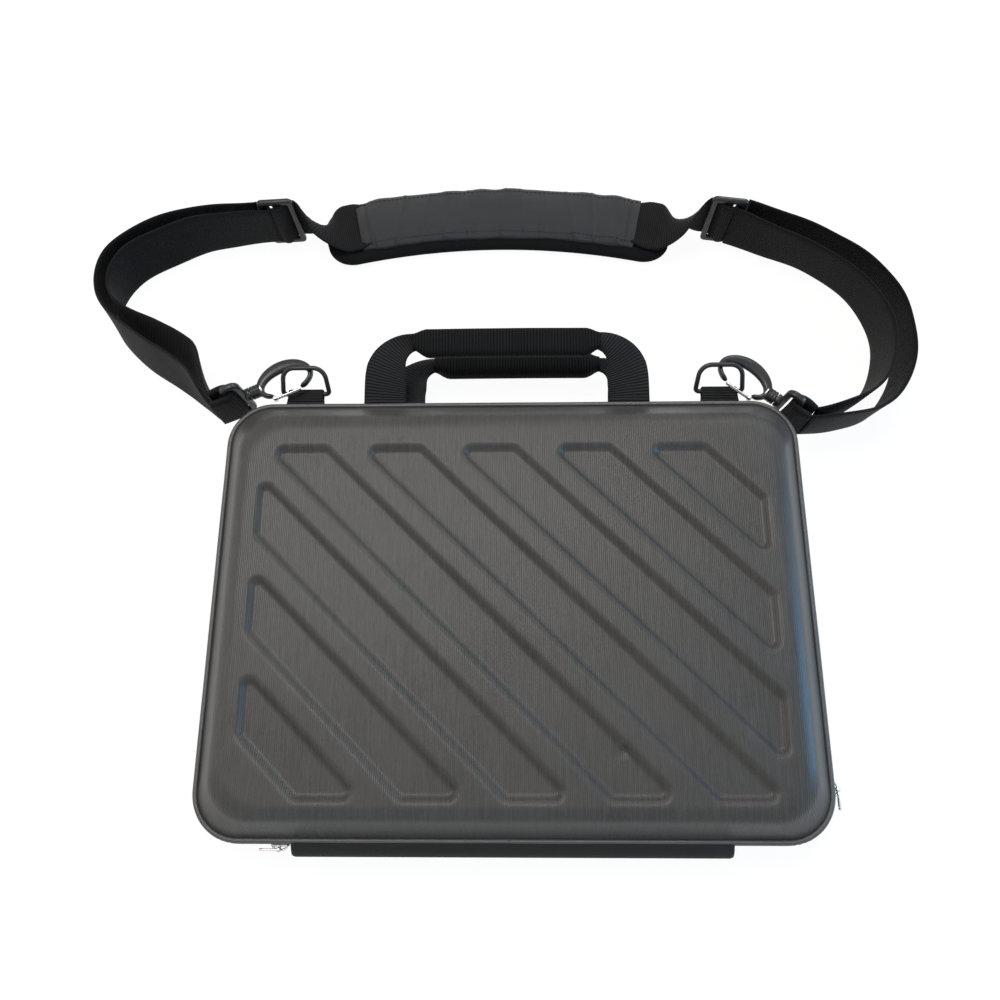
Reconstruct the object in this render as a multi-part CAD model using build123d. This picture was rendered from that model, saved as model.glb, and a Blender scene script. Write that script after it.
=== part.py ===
from build123d import *
import os
from math import atan2, cos, degrees, hypot, pi, radians, sin, sqrt, tan

# Laptop attache case: a moulded clamshell lying on its back with the lid laid closed.
# X runs along the hinge, +Y points from the hinge to the handles, +Z points up.
# The origin is on the underside, at the middle of the case.

# ---------------------------------------------------------------- the two moulded shells
case_length = 350.0          # over the bindings, along X
case_width = 256.0           # over the bindings, along Y
shell_depth = 26.0           # face to lip, for each shell
zip_gap = 8.0                # between the two lips
corner_radius = 27.0         # plan corner of the binding
binding_thickness = 1.5
lip_height = 4.0             # upright lip that the binding wraps
lip_step = 1.5               # the dish starts this far inside the lip
face_inset = 16.0            # virtual edge of the face, from the outside of the binding
face_shift = 2.0             # the face sits this much nearer to the hinge
face_edge_radius = 12.0
wall = 4.0                   # side wall of the laminate
face_thickness = 6.5         # flat of the laminate, which holds the sunk panels

# ---------------------------------------------------------------- sunk diagonal panels
panel_pitch = 55.5           # from panel to panel, along X
panel_open = 30.0            # floor of one panel, along X
panel_depth = 3.0
panel_slope = 45.0           # slope of a panel's sides, degrees
panel_end_margin = 30.7      # from the binding to the field that the panel floors fill
panel_near_margin = 25.0
panel_far_margin = 39.0
panel_corner = 2.2           # plan radius at a floor's corners
lid_panel_phase = -34.7      # x + y at the middle of the panel through the centre
base_panel_phase = -27.7
panels_each_side = 5

# ---------------------------------------------------------------- zip
tape_width = 7.5
tape_thickness = 1.2
tape_overhang = 0.9          # the tape's outer edge, outside the binding
coil_width = 2.2
coil_parting = 0.4           # between the two rows of coil
zip_end_from_side = 51.0     # the coil stops here on the hinge side
stop_length = 3.0
stop_margin = 0.5
slider_length = 10.0
slider_plate = 1.3
slider_gap = 0.35            # running clearance on tape and coil
slider_top_gap = 0.1         # below the parting plane
slider_left_from_side = 48.0
slider_right_from_hinge_side = 28.0
arm_width = 2.4
arm_thickness = 1.5
arm_reach = 2.75
post_radius = 0.55
post_height = 3.0
post_clearance = 0.07
cap_radius = 1.0
cap_thickness = 0.5
pull_length = 12.0
pull_width = 2.6
pull_thickness = 1.1
pull_boss = 1.3
pull_end_radius = 2.4

# ---------------------------------------------------------------- hinge
hinge_from_side = 56.0       # from the case's side to the end of the hinge cloth
hinge_stand_off = 5.5        # from the binding to the hinge axis
hinge_cord_radius = 1.6
hinge_cloth = 1.3
hinge_clearance = 0.35

# ---------------------------------------------------------------- inside
lining = 1.6
lining_clearance = 0.15
bed_thickness = 3.0
bay_end_room = 25.0          # from the binding to the laptop's bay
bay_near_room = 23.2
bay_far_room = 26.8
laptop_corner = 8.0
guard_leg = 34.0
guard_thickness = 2.5
guard_height = 11.0
pocket_end_room = 41.0       # from the binding to the pocket
pocket_near_room = 28.0
pocket_width = 112.0
pocket_cloth = 1.4
pocket_space = 1.2           # between the pocket's cloth and the lining
pocket_hem_width = 10.0
pocket_hem_thickness = 1.2
band_width = 25.0
band_thickness = 1.4

# ---------------------------------------------------------------- handles
handle_webbing = 26.0
webbing_thickness = 2.0
handle_reach = 48.0          # from the binding to the far side of the grip
handle_bend = 30.0           # outside radius where a leg turns into the grip
handle_inner_bend = 7.0
handle_core = 12.0           # webbing folded to this width inside the grip
grip_width = 15.5
grip_height = 11.0
grip_corner = 4.6
grip_end_gap = 1.0           # from the grip's end to the start of the inner bend
grip_fit = 0.1
front_handle_span = 152.6    # between the middles of the two legs
front_handle_middle = -2.6
rear_handle_span = 144.0
rear_handle_middle = 4.0
front_handle_lift = 12.0     # the front handle lies this much above the level, degrees
rear_handle_drop = 18.0
anchor_thickness = 1.4
anchor_margin = 0.2          # above and below a sewn anchor, inside the binding's height
fold_clearance = 0.3

# ---------------------------------------------------------------- rings and tabs
ring_wire = 1.5              # radius
ring_inside = 27.0
ring_depth = 18.0
ring_taper = 2.0
ring_bar_bend = 2.1
ring_far_bend = 8.0
ring_tilt = 47.3             # the ring stands this much above the level
ring_clearance = 0.08
tab_width = 25.0
tab_thickness = 1.5
tab_length = 13.0            # from the binding to the ring's bar
ring_left_from_side = 43.0
ring_right_from_side = 42.0

# ---------------------------------------------------------------- snap hooks
hook_half_length = 19.0
hook_half_width = 11.5
hook_thickness = 5.0
hook_spine = 6.0             # the broad side of the hook
hook_end_wall = 4.0
hook_opening_shift = 0.5     # towards the tip
hook_gate_wall = 3.0
gate_from = 13.0
gate_to = 31.0
gate_radius = 1.0
gate_clearance = 0.3
collar_radius = 4.4
collar_length = 5.0
swivel_radius = 2.2
swivel_clearance = 0.08
swivel_head = 3.4
swivel_head_thickness = 1.4
swivel_head_gap = 0.4       # end play of the swivel
collar_overlap = 1.0         # the collar runs this far into the hook
eye_gap = 0.4
eye_boss = 2.0
eye_bar = 4.0
eye_slot = 32.0
eye_slot_depth = 4.5
hook_height = 30.0
hook_pitch = 4.0
hook_left_from_ring = (-34.0, -2.0)   # where the swivel enters the hook, in plan
hook_left_turn = 22.0
hook_right_from_ring = (33.6, -8.3)
hook_right_turn = 143.0

# ---------------------------------------------------------------- shoulder strap
strap_webbing = 38.0
strap_thickness = 1.8
bunched = 30.0               # webbing gathered in a hook's eye
bunch_reach = 22.0           # from the hook's origin to the end of the gathered webbing
adjuster_length = 24.0
adjuster_bar = 4.0
adjuster_thickness = 3.2
adjuster_fit = 0.3
adjuster_corner = 3.0
adjuster_left = (-158.0, 271.5)
adjuster_left_turn = 3.0
adjuster_right = (146.0, 268.5)
adjuster_right_turn = -8.0
strap_gap = 0.4
arc_share = 0.45             # of a straight run, used up by the arc at each of its ends
pad_length = 246.0
pad_width = 46.0
pad_thickness = 11.0
pad_radius = 480.0           # the pad's middle line bends round this far behind it
pad_middle = (-9.0, 283.0)
pad_end_radius = 19.0
pad_edge = 3.0
pad_run_length = 243.0
sleeve_length = 196.0
sleeve_width = 42.0
sleeve_thickness = 3.6
sleeve_edge = 1.2

# The two runs of each loop, from the hook's eye to the adjuster, in plan.
left_outer_run = [(-187.6, 126.8), (-213, 146), (-246, 167), (-269, 188), (-279, 213),
                  (-274, 238), (-258, 256), (-234, 268), (-206, 273.5), (-171, 274.5)]
left_return_run = [(-189.8, 133.9), (-211, 151), (-238, 170), (-258, 190), (-267, 212),
                   (-263, 233), (-249, 248), (-228, 260), (-203, 266), (-162, 268.2)]
right_outer_run = [(183.7, 116.4), (211, 118), (235, 128), (251, 148), (258, 175),
                   (256, 202), (244, 225), (224, 243), (195, 258), (158.5, 269.5)]
right_return_run = [(187.8, 121.5), (209, 127), (228, 138), (240, 155), (245, 177),
                    (242, 199), (231, 218), (212, 235), (186, 248), (149.3, 264.2)]

# ---------------------------------------------------------------- derived values
half_x = case_length / 2
half_y = case_width / 2
parting = shell_depth + zip_gap / 2
lid_lip = shell_depth + zip_gap
hinge_y = -(half_y + hinge_stand_off)
hinge_length = case_length - 2 * hinge_from_side
zip_end_x = half_x - zip_end_from_side
slider_left_x = slider_left_from_side - half_x
slider_right_y = slider_right_from_hinge_side - half_y
panel_field_x = case_length - 2 * panel_end_margin
panel_field_y = case_width - panel_near_margin - panel_far_margin
panel_field_shift = (panel_near_margin - panel_far_margin) / 2
laptop_length = case_length - 2 * bay_end_room
laptop_width = case_width - bay_near_room - bay_far_room
laptop_shift = (bay_near_room - bay_far_room) / 2
pocket_length = case_length - 2 * pocket_end_room
pocket_shift = pocket_near_room + pocket_width / 2 - half_y
lip_middle = shell_depth - lip_height / 2
lining_face = face_thickness + lining_clearance + lining
bed_top = lining_face + bed_thickness
post_x = slider_gap + slider_plate + arm_reach / 2
collar_end = collar_length + collar_overlap
hook_middle = collar_length - collar_overlap + hook_half_length
fold_y = half_y + anchor_thickness + fold_clearance + webbing_thickness / 2
ring_y = half_y + tab_length
ring_left_x = ring_left_from_side - half_x
ring_right_x = half_x - ring_right_from_side
hook_left = (ring_left_x + hook_left_from_ring[0], ring_y + hook_left_from_ring[1])
hook_right = (ring_right_x + hook_right_from_ring[0], ring_y + hook_right_from_ring[1])
adjuster_height = strap_webbing + 2 * adjuster_fit + 2 * adjuster_bar
strap_low = adjuster_bar + adjuster_fit
strap_middle = strap_low + strap_webbing / 2
past = 1.0                   # how far a cut runs past a face
tiny = 0.01

os.makedirs("parts", exist_ok=True)


def save(node, shape):
    """Write one named piece."""
    shape.label = node
    export_step(shape, f"parts/{node}.step")


def outline(inset):
    """Plan of the case, moved in from the outside of the binding."""
    return RectangleRounded(case_length - 2 * inset, case_width - 2 * inset, corner_radius - inset)


def slab(inset, low, high):
    return Pos(0, 0, low) * extrude(outline(inset), high - low)


def ring(outer_inset, inner_inset, low, high):
    return slab(outer_inset, low, high) - slab(inner_inset, low - past, high + past)


def upside_down(shape):
    """Turn a piece over about the Y axis and set it on the other side of the parting plane."""
    return Pos(0, 0, parting) * Rot(0, 180, 0) * Pos(0, 0, -parting) * shape


def box(low, high):
    size = [b - a for a, b in zip(low, high)]
    return Pos(*low) * Box(*size, align=(Align.MIN, Align.MIN, Align.MIN))


def rod(radius, length):
    """Round rod that stands on z = 0."""
    return Cylinder(radius, length, align=(Align.CENTER, Align.CENTER, Align.MIN))


# ================================================================ shells
def dish(inset, depth, edge):
    """Drafted block with rounded corners: its mouth is at z = 0 and its face at z = depth."""
    mouth = Rectangle(case_length - 2 * inset, case_width - 2 * inset)
    face_x = case_length - 2 * (inset - binding_thickness - lip_step) - 2 * face_inset
    face_y = case_width - 2 * (inset - binding_thickness - lip_step) - 2 * face_inset
    face = Pos(0, -face_shift, depth) * Rectangle(face_x, face_y)
    block = loft([mouth, face], ruled=True)
    hips = block.edges().filter_by(Axis.Z, reverse=True).filter_by(
        lambda e: abs(e.bounding_box().size.Z - depth) < tiny)
    block = fillet(hips, corner_radius - inset)
    rim = block.faces().sort_by(Axis.Z)[-1].edges()
    return fillet(rim, edge)


def panel_floors(phase):
    """Plans of the sunk panels' floors: diagonal strips cut to the field."""
    field = Pos(0, panel_field_shift) * Rectangle(panel_field_x, panel_field_y)
    reach = case_length + case_width
    floors = []
    for i in range(-panels_each_side, panels_each_side + 1):
        along = (phase + i * panel_pitch) / 2
        strip = Pos(along, along) * Rot(0, 0, -45) * Rectangle(reach, panel_open / sqrt(2))
        cut = field & strip
        for floor in (cut.faces() if cut else []):
            if floor.area > panel_open * panel_open / 2:
                floors.append(floor)
    return floors


def shell(phase):
    """One moulded shell, drawn as the lid with its lip at z = 0."""
    depth = shell_depth - lip_height
    inset = binding_thickness + lip_step
    body = slab(binding_thickness, 0, lip_height)
    body += Pos(0, 0, lip_height) * dish(inset, depth, face_edge_radius)
    hollow = slab(inset + wall, -past, lip_height)
    hollow += Pos(0, 0, lip_height) * dish(inset + wall, depth - face_thickness,
                                           face_edge_radius - wall)
    body -= hollow
    grow = panel_depth * tan(radians(panel_slope))
    for floor in panel_floors(phase):
        middle = offset(floor, -panel_corner, kind=Kind.INTERSECTION)
        opening = offset(middle, panel_corner + grow, kind=Kind.ARC)
        cutter = extrude(opening, panel_depth, taper=panel_slope, dir=(0, 0, -1))
        body -= Pos(0, 0, shell_depth) * cutter
    return body


# ================================================================ bindings, zip and hinge
def binding():
    """Tape folded round the base's lip."""
    return ring(0, binding_thickness, shell_depth - lip_height, shell_depth)


def hinge_side(reach_x, low, high):
    """Block that clears the hinge side of a ring."""
    depth = 2 * tape_width
    return box((-reach_x, -half_y - depth, low), (reach_x, -half_y + depth, high))


def zip_tape():
    low, high = shell_depth, shell_depth + tape_thickness
    tape = ring(-tape_overhang, tape_width - tape_overhang, low, high)
    return tape - hinge_side(zip_end_x - stop_length - 2 * stop_margin, low - past, high + past)


def zip_coil():
    low, high = shell_depth + tape_thickness, parting - coil_parting / 2
    coil = ring(-tape_overhang, coil_width - tape_overhang, low, high)
    return coil - hinge_side(zip_end_x, low - past, high + past)


def zip_stops():
    """A crimped stop at each end of the base's coil."""
    low, high = shell_depth + tape_thickness, parting - coil_parting / 2
    near = -half_y - tape_overhang
    stops = []
    for side in (-1, 1):
        middle = side * (zip_end_x - stop_length / 2 - stop_margin / 2)
        stop = box((middle - stop_length / 2, near, low),
                   (middle + stop_length / 2, near + coil_width, high))
        stops.append(stop)
    return Compound(children=stops)


def slider():
    """Slider in its own frame: x out of the coil's face, y along the zip."""
    low = shell_depth - slider_gap - slider_plate
    high = parting - slider_top_gap
    face = slider_gap
    outside = slider_gap + slider_plate
    half = slider_length / 2
    body = box((face, -half, low), (outside, half, high))
    toe = box((slider_gap - tape_overhang, -half, low), (face, half, shell_depth - slider_gap))
    arm = box((outside, -arm_width / 2, high - arm_thickness), (outside + arm_reach, arm_width / 2, high))
    post = Pos(post_x, 0, high) * rod(post_radius, post_height)
    cap = Pos(post_x, 0, high + post_height) * rod(cap_radius, cap_thickness)
    return body + toe + arm + post + cap


def pull():
    """Pull tab in the slider's frame, lying back along the zip."""
    low = parting - slider_top_gap + (post_height - pull_width) / 2
    blade = box((post_x - pull_thickness / 2, -pull_length + pull_end_radius, low),
                (post_x + pull_thickness / 2, 0, low + pull_width))
    boss = Pos(post_x, 0, low) * rod(pull_boss, pull_width)
    bore = Pos(post_x, 0, low - past) * rod(post_radius + post_clearance, pull_width + 2 * past)
    end = Pos(post_x, -pull_length + pull_end_radius, low + pull_width / 2) * Rot(0, 90, 0)
    disc = end * Cylinder(pull_width / 2, pull_thickness)
    return blade + boss + disc - bore


def at_right_side(y):
    return Pos(half_x + tape_overhang, y, 0)


def at_hinge_side(x):
    return Pos(x, -half_y - tape_overhang, 0) * Rot(0, 0, -90)


def along_hinge(points, length):
    """Profile in the YZ plane, drawn out along the hinge."""
    profile = Plane.YZ * make_face(Polyline(*points, close=True))
    return Pos(-length / 2, 0, 0) * extrude(profile, length, dir=(1, 0, 0))


def hinge_leaf(stop_short):
    """Cloth leaf from the base's binding to the hinge cord; the lid's one stops short of the cord."""
    inner, outer = -half_y, -half_y - hinge_cloth
    low = shell_depth - lip_height
    cord_bottom = parting - hinge_cord_radius - stop_short
    return along_hinge([(inner, low), (outer, low), (outer, low + hinge_cloth),
                        (hinge_y, cord_bottom - hinge_cloth), (hinge_y, cord_bottom),
                        (inner, shell_depth)], hinge_length)


def hinge_cord():
    return Pos(0, hinge_y, parting) * Rot(0, 90, 0) * Cylinder(hinge_cord_radius, hinge_length)


# ================================================================ inside
def inner_dish(margin):
    """The hollow of a shell drawn in by a margin, with its mouth at z = 0."""
    inset = binding_thickness + lip_step + wall + margin
    depth = shell_depth - lip_height - face_thickness - margin
    body = slab(inset, 0, lip_height)
    body += Pos(0, 0, lip_height) * dish(inset, depth, face_edge_radius - wall - margin)
    return body


def lining_cup():
    """Cloth lining that follows the hollow, drawn as the lid's with its mouth at z = 0."""
    return inner_dish(lining_clearance) - inner_dish(lining_clearance + lining)


def laptop_plan(margin):
    return RectangleRounded(laptop_length + 2 * margin, laptop_width + 2 * margin, laptop_corner + margin)


def laptop_bed():
    """Foam bed under the laptop and its corner guards, bevelled to clear the lining's round edge."""
    bed = extrude(laptop_plan(guard_thickness), bed_thickness)
    bed = chamfer(bed.edges().group_by(Axis.Z)[0], guard_thickness)
    return Pos(0, laptop_shift, lining_face) * bed


def corner_guard(side_x, side_y):
    """L-shaped guard that holds one corner of the laptop."""
    wall_plan = laptop_plan(guard_thickness) - laptop_plan(0)
    corner = Pos(side_x * laptop_length / 2, side_y * laptop_width / 2)
    corner *= Rectangle(2 * guard_leg, 2 * guard_leg)
    upright = extrude(wall_plan & corner, guard_height)
    return Pos(0, laptop_shift, bed_top) * upright


def retaining_band():
    """Elastic band that lies across the middle of the bed."""
    reach = laptop_width / 2 - 2 * laptop_corner
    low = bed_top
    return box((-band_width / 2, laptop_shift - reach, low),
               (band_width / 2, laptop_shift + reach, low + band_thickness))


def lid_pocket():
    """Flat cloth pocket under the lid's lining, open towards the handles."""
    top = 2 * parting - lining_face
    low = top - pocket_space - pocket_cloth
    half, side = pocket_length / 2, pocket_width / 2
    body = box((-half, pocket_shift - side, low), (half, pocket_shift + side, top))
    space = box((-half + pocket_cloth, pocket_shift - side + pocket_cloth, low + pocket_cloth),
                (half - pocket_cloth, pocket_shift + side + past, top + past))
    return body - space


def pocket_hem():
    low = 2 * parting - lining_face - pocket_space - pocket_cloth
    side = pocket_shift + pocket_width / 2
    return box((-pocket_length / 2, side - pocket_hem_width, low - pocket_hem_thickness),
               (pocket_length / 2, side, low))


# ================================================================ handles
def handle(span):
    """Webbing handle lying level: fold line at y = 0, middle at x = 0."""
    far = handle_reach - (fold_y - half_y)
    core_far = far - (grip_width - handle_core) / 2
    wide, narrow = span + handle_webbing, span - handle_webbing
    plan = Pos(0, core_far / 2) * Rectangle(wide, core_far)
    plan = fillet(plan.vertices().group_by(Axis.Y)[-1], handle_bend)
    window_far = core_far - handle_core
    window = Pos(0, window_far / 2) * Rectangle(narrow, window_far)
    window = fillet(window.vertices().group_by(Axis.Y)[-1], handle_inner_bend)
    strip = Pos(0, 0, -webbing_thickness / 2) * extrude(plan - window, webbing_thickness)
    for side in (-1, 1):
        strip += Pos(side * span / 2, 0, 0) * Rot(0, 90, 0) * Cylinder(webbing_thickness / 2, handle_webbing)
    return strip


def grip(span):
    """Padded sleeve sewn round the webbing in the middle of a handle."""
    length = span - handle_webbing - 2 * handle_inner_bend - 2 * grip_end_gap
    outer = RectangleRounded(grip_height, grip_width, grip_corner)
    hole = Rectangle(webbing_thickness + 2 * grip_fit, handle_core + 2 * grip_fit)
    far = handle_reach - (fold_y - half_y) - grip_width / 2
    tube = extrude(outer - hole, length / 2, both=True)
    return Pos(0, far, 0) * Rot(0, 90, 0) * tube


def anchors(span, middle, height):
    """The two sewn ends of a handle, flat on the binding."""
    low = height - lip_height / 2 + anchor_margin
    high = height + lip_height / 2 - anchor_margin
    pads = []
    for side in (-1, 1):
        x = middle + side * span / 2
        pads.append(box((x - handle_webbing / 2, half_y, low),
                        (x + handle_webbing / 2, half_y + anchor_thickness, high)))
    return Compound(children=pads)


# ================================================================ rings and their tabs
def ring_tab(x):
    """Webbing folded round the ring's bar and sewn to the binding."""
    loop = ring_wire + ring_clearance + tab_thickness
    half = lip_height / 2 - anchor_margin
    plies = make_face(Polyline((half_y, lip_middle - half), (ring_y, lip_middle - loop),
                               (ring_y, lip_middle + loop), (half_y, lip_middle + half), close=True))
    profile = plies + Pos(ring_y, lip_middle) * Circle(loop)
    profile -= Pos(ring_y, lip_middle) * Circle(ring_wire + ring_clearance)
    return Pos(x - tab_width / 2, 0, 0) * extrude(Plane.YZ * profile, tab_width, dir=(1, 0, 0))


def d_ring(x):
    half = ring_inside / 2 + ring_wire
    path = FilletPolyline((-half, 0), (half, 0), (half - ring_taper, ring_depth),
                          (-half + ring_taper, ring_depth),
                          radius=[ring_bar_bend, ring_bar_bend, ring_far_bend, ring_far_bend], close=True)
    section = Plane(origin=path @ 0, z_dir=path % 0) * Circle(ring_wire)
    return Pos(x, ring_y, lip_middle) * Rot(ring_tilt, 0, 0) * sweep(section, path)


# ================================================================ snap hooks
def hook_frame(place, turn):
    """Frame whose x runs from the swivel to the hook's tip."""
    return Pos(place[0], place[1], hook_height) * Rot(0, 0, turn) * Rot(0, -hook_pitch, 0)


def hook_body():
    """Hook with its gate side towards -y."""
    outer = Pos(hook_middle, 0) * Ellipse(hook_half_length, hook_half_width)
    opening_half = (2 * hook_half_width - hook_spine - hook_gate_wall) / 2
    opening_y = hook_half_width - hook_spine - opening_half
    opening = Pos(hook_middle + hook_opening_shift, opening_y) * Ellipse(
        hook_half_length - hook_end_wall, opening_half)
    gate_gap = Pos((gate_from + gate_to) / 2, -hook_half_width) * Rectangle(
        gate_to - gate_from, 2 * (hook_half_width + opening_y - opening_half + hook_gate_wall))
    plan = outer - opening - gate_gap
    body = extrude(plan, hook_thickness / 2, both=True)
    along = Rot(0, 90, 0)
    body += Pos(collar_end / 2, 0, 0) * along * Cylinder(collar_radius, collar_end)
    bore = Pos(collar_end / 2, 0, 0) * along * Cylinder(
        swivel_radius + swivel_clearance, collar_end + 2 * past)
    room = swivel_head_thickness + 2 * swivel_head_gap
    head_room = Pos(collar_end + room / 2, 0, 0) * along * Cylinder(swivel_head + swivel_head_gap, room)
    return body - bore - head_room


def hook_eye():
    """Webbing eye with the swivel stem that turns in the hook's collar."""
    depth = 2 * eye_bar + eye_slot_depth
    right = -eye_gap - eye_boss
    frame = Pos(right - depth / 2, 0, 0) * Box(depth, eye_bar, eye_slot + 2 * eye_bar)
    frame -= Pos(right - depth / 2, 0, 0) * Box(eye_slot_depth, 2 * eye_bar, eye_slot)
    along = Rot(0, 90, 0)
    boss = Pos(right + eye_boss / 2, 0, 0) * along * Cylinder(collar_radius, eye_boss)
    head_at = collar_end + swivel_head_gap
    stem = Pos((right + head_at) / 2, 0, 0) * along * Cylinder(swivel_radius, head_at - right)
    head = Pos(head_at + swivel_head_thickness / 2, 0, 0) * along * Cylinder(
        swivel_head, swivel_head_thickness)
    return frame + boss + stem + head


def hook_gate():
    """Wire gate that closes the hook's mouth."""
    y = -hook_half_width + hook_gate_wall / 2
    reach = gate_to - gate_from - 2 * gate_clearance
    return Pos(gate_from + gate_clearance, y, 0) * Rot(0, 90, 0) * rod(gate_radius, reach)


def bunched_end():
    """Webbing that passes through the eye and doubles back, gathered narrow."""
    bar_left = -eye_gap - eye_boss - 2 * eye_bar - eye_slot_depth
    half = eye_bar / 2 + strap_gap
    slot_x = bar_left + eye_bar + strap_gap
    outer = box((-bunch_reach, -half - strap_thickness, -bunched / 2),
                (slot_x + strap_thickness, half + strap_thickness, bunched / 2))
    inner = box((-bunch_reach - past, -half, -bunched), (slot_x, half, bunched))
    return outer - inner


# ================================================================ shoulder strap
def turn_between(before, corner, after):
    """Turn of a route at a corner, in radians."""
    one = atan2(corner[1] - before[1], corner[0] - before[0])
    two = atan2(after[1] - corner[1], after[0] - corner[0])
    change = abs(two - one)
    return min(change, 2 * pi - change)


def strap_run(points):
    """Webbing standing on edge along a route, in straight runs joined by tangent arcs."""
    radii = []
    for before, corner, after in zip(points, points[1:], points[2:]):
        shorter = min(hypot(corner[0] - before[0], corner[1] - before[1]),
                      hypot(after[0] - corner[0], after[1] - corner[1]))
        radii.append(arc_share * shorter / tan(turn_between(before, corner, after) / 2))
    path = FilletPolyline(*points, radius=radii)
    heading = path % 0
    start = Plane(origin=path @ 0, x_dir=(-heading.Y, heading.X, 0), z_dir=heading)
    run = sweep(start * Rectangle(strap_thickness, strap_webbing), path)
    print("webbing radii", [round(r) for r in radii], "length", round(path.length, 1),
          "volume ratio", round(run.volume / (path.length * strap_thickness * strap_webbing), 4))
    return Pos(0, 0, strap_middle) * run


def adjuster(place, turn):
    """Three-bar slide standing on its edge, with the webbing's slots upright."""
    slot = (adjuster_length - 3 * adjuster_bar) / 2
    frame = Box(adjuster_length, adjuster_thickness, adjuster_height)
    for side in (-1, 1):
        frame -= Pos(side * (adjuster_bar + slot) / 2, 0, 0) * Box(
            slot, 2 * adjuster_thickness, strap_webbing + 2 * adjuster_fit)
    corners = frame.edges().filter_by(Axis.Y).group_by(SortBy.LENGTH)[0]
    corners = [e for e in corners if abs(abs(e.center().X) - adjuster_length / 2) < tiny]
    frame = fillet(corners, adjuster_corner)
    return Pos(place[0], place[1], adjuster_height / 2) * Rot(0, 0, turn) * frame


def bent_strip(length, width):
    """Plan of a strip that follows the pad's middle line."""
    angle = degrees(length / pad_radius)
    start = 90 - angle / 2
    far = CenterArc((0, 0), pad_radius + width / 2, start, angle)
    near = CenterArc((0, 0), pad_radius - width / 2, start, angle)
    face = make_face([far, Line(far @ 1, near @ 1), near, Line(near @ 0, far @ 0)])
    return Pos(pad_middle[0], pad_middle[1] - pad_radius) * face


def shoulder_pad():
    plan = bent_strip(pad_length, pad_width)
    plan = fillet(plan.vertices(), pad_end_radius)
    body = extrude(plan, pad_thickness)
    return fillet(body.edges().group_by(Axis.Z)[-1], pad_edge)


def pad_sleeve():
    body = Pos(0, 0, pad_thickness) * extrude(bent_strip(sleeve_length, sleeve_width), sleeve_thickness)
    side_edges = [e for e in body.edges().group_by(Axis.Z)[-1] if e.geom_type == GeomType.CIRCLE]
    body = fillet(side_edges, sleeve_edge)
    channel = extrude(bent_strip(pad_length, strap_webbing + 2 * strap_gap), strap_thickness + strap_gap)
    return body - Pos(0, 0, pad_thickness) * channel


def pad_run():
    """Webbing that lies flat between the pad and its sleeve."""
    return Pos(0, 0, pad_thickness) * extrude(bent_strip(pad_run_length, strap_webbing), strap_thickness)


def pad_end(side):
    """Place and heading of the pad's webbing at one end, in plan."""
    angle = side * pad_run_length / 2 / pad_radius
    x = pad_middle[0] + pad_radius * sin(angle)
    y = pad_middle[1] - pad_radius * (1 - cos(angle))
    return x, y, -degrees(angle)


def twist(side, place, turn):
    """Webbing that turns from flat on the pad to upright at the adjuster."""
    x, y, heading = pad_end(side)
    a, b = cos(radians(heading)), sin(radians(heading))
    flat_at = Vector(x + side * strap_gap * a, y + side * strap_gap * b, pad_thickness + strap_thickness / 2)
    c, d = cos(radians(turn)), sin(radians(turn))
    reach = adjuster_length / 2 + strap_gap
    upright_at = Vector(place[0] - side * reach * c, place[1] - side * reach * d, strap_middle)
    flat = Plane(origin=flat_at, x_dir=(-b, a, 0), z_dir=(side * a, side * b, 0)) * Rectangle(
        strap_webbing, strap_thickness)
    upright = Plane(origin=upright_at, x_dir=(0, 0, side), z_dir=(side * c, side * d, 0)) * Rectangle(
        strap_webbing, strap_thickness)
    between = flat_at * 0.5 + upright_at * 0.5
    lean = Vector(-(b + d) / 2, (a + c) / 2, side)
    half = Plane(origin=between, x_dir=lean, z_dir=(side * (a + c), side * (b + d), 0)) * Rectangle(
        strap_webbing, strap_thickness)
    return loft([flat, half, upright], ruled=True)


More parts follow.
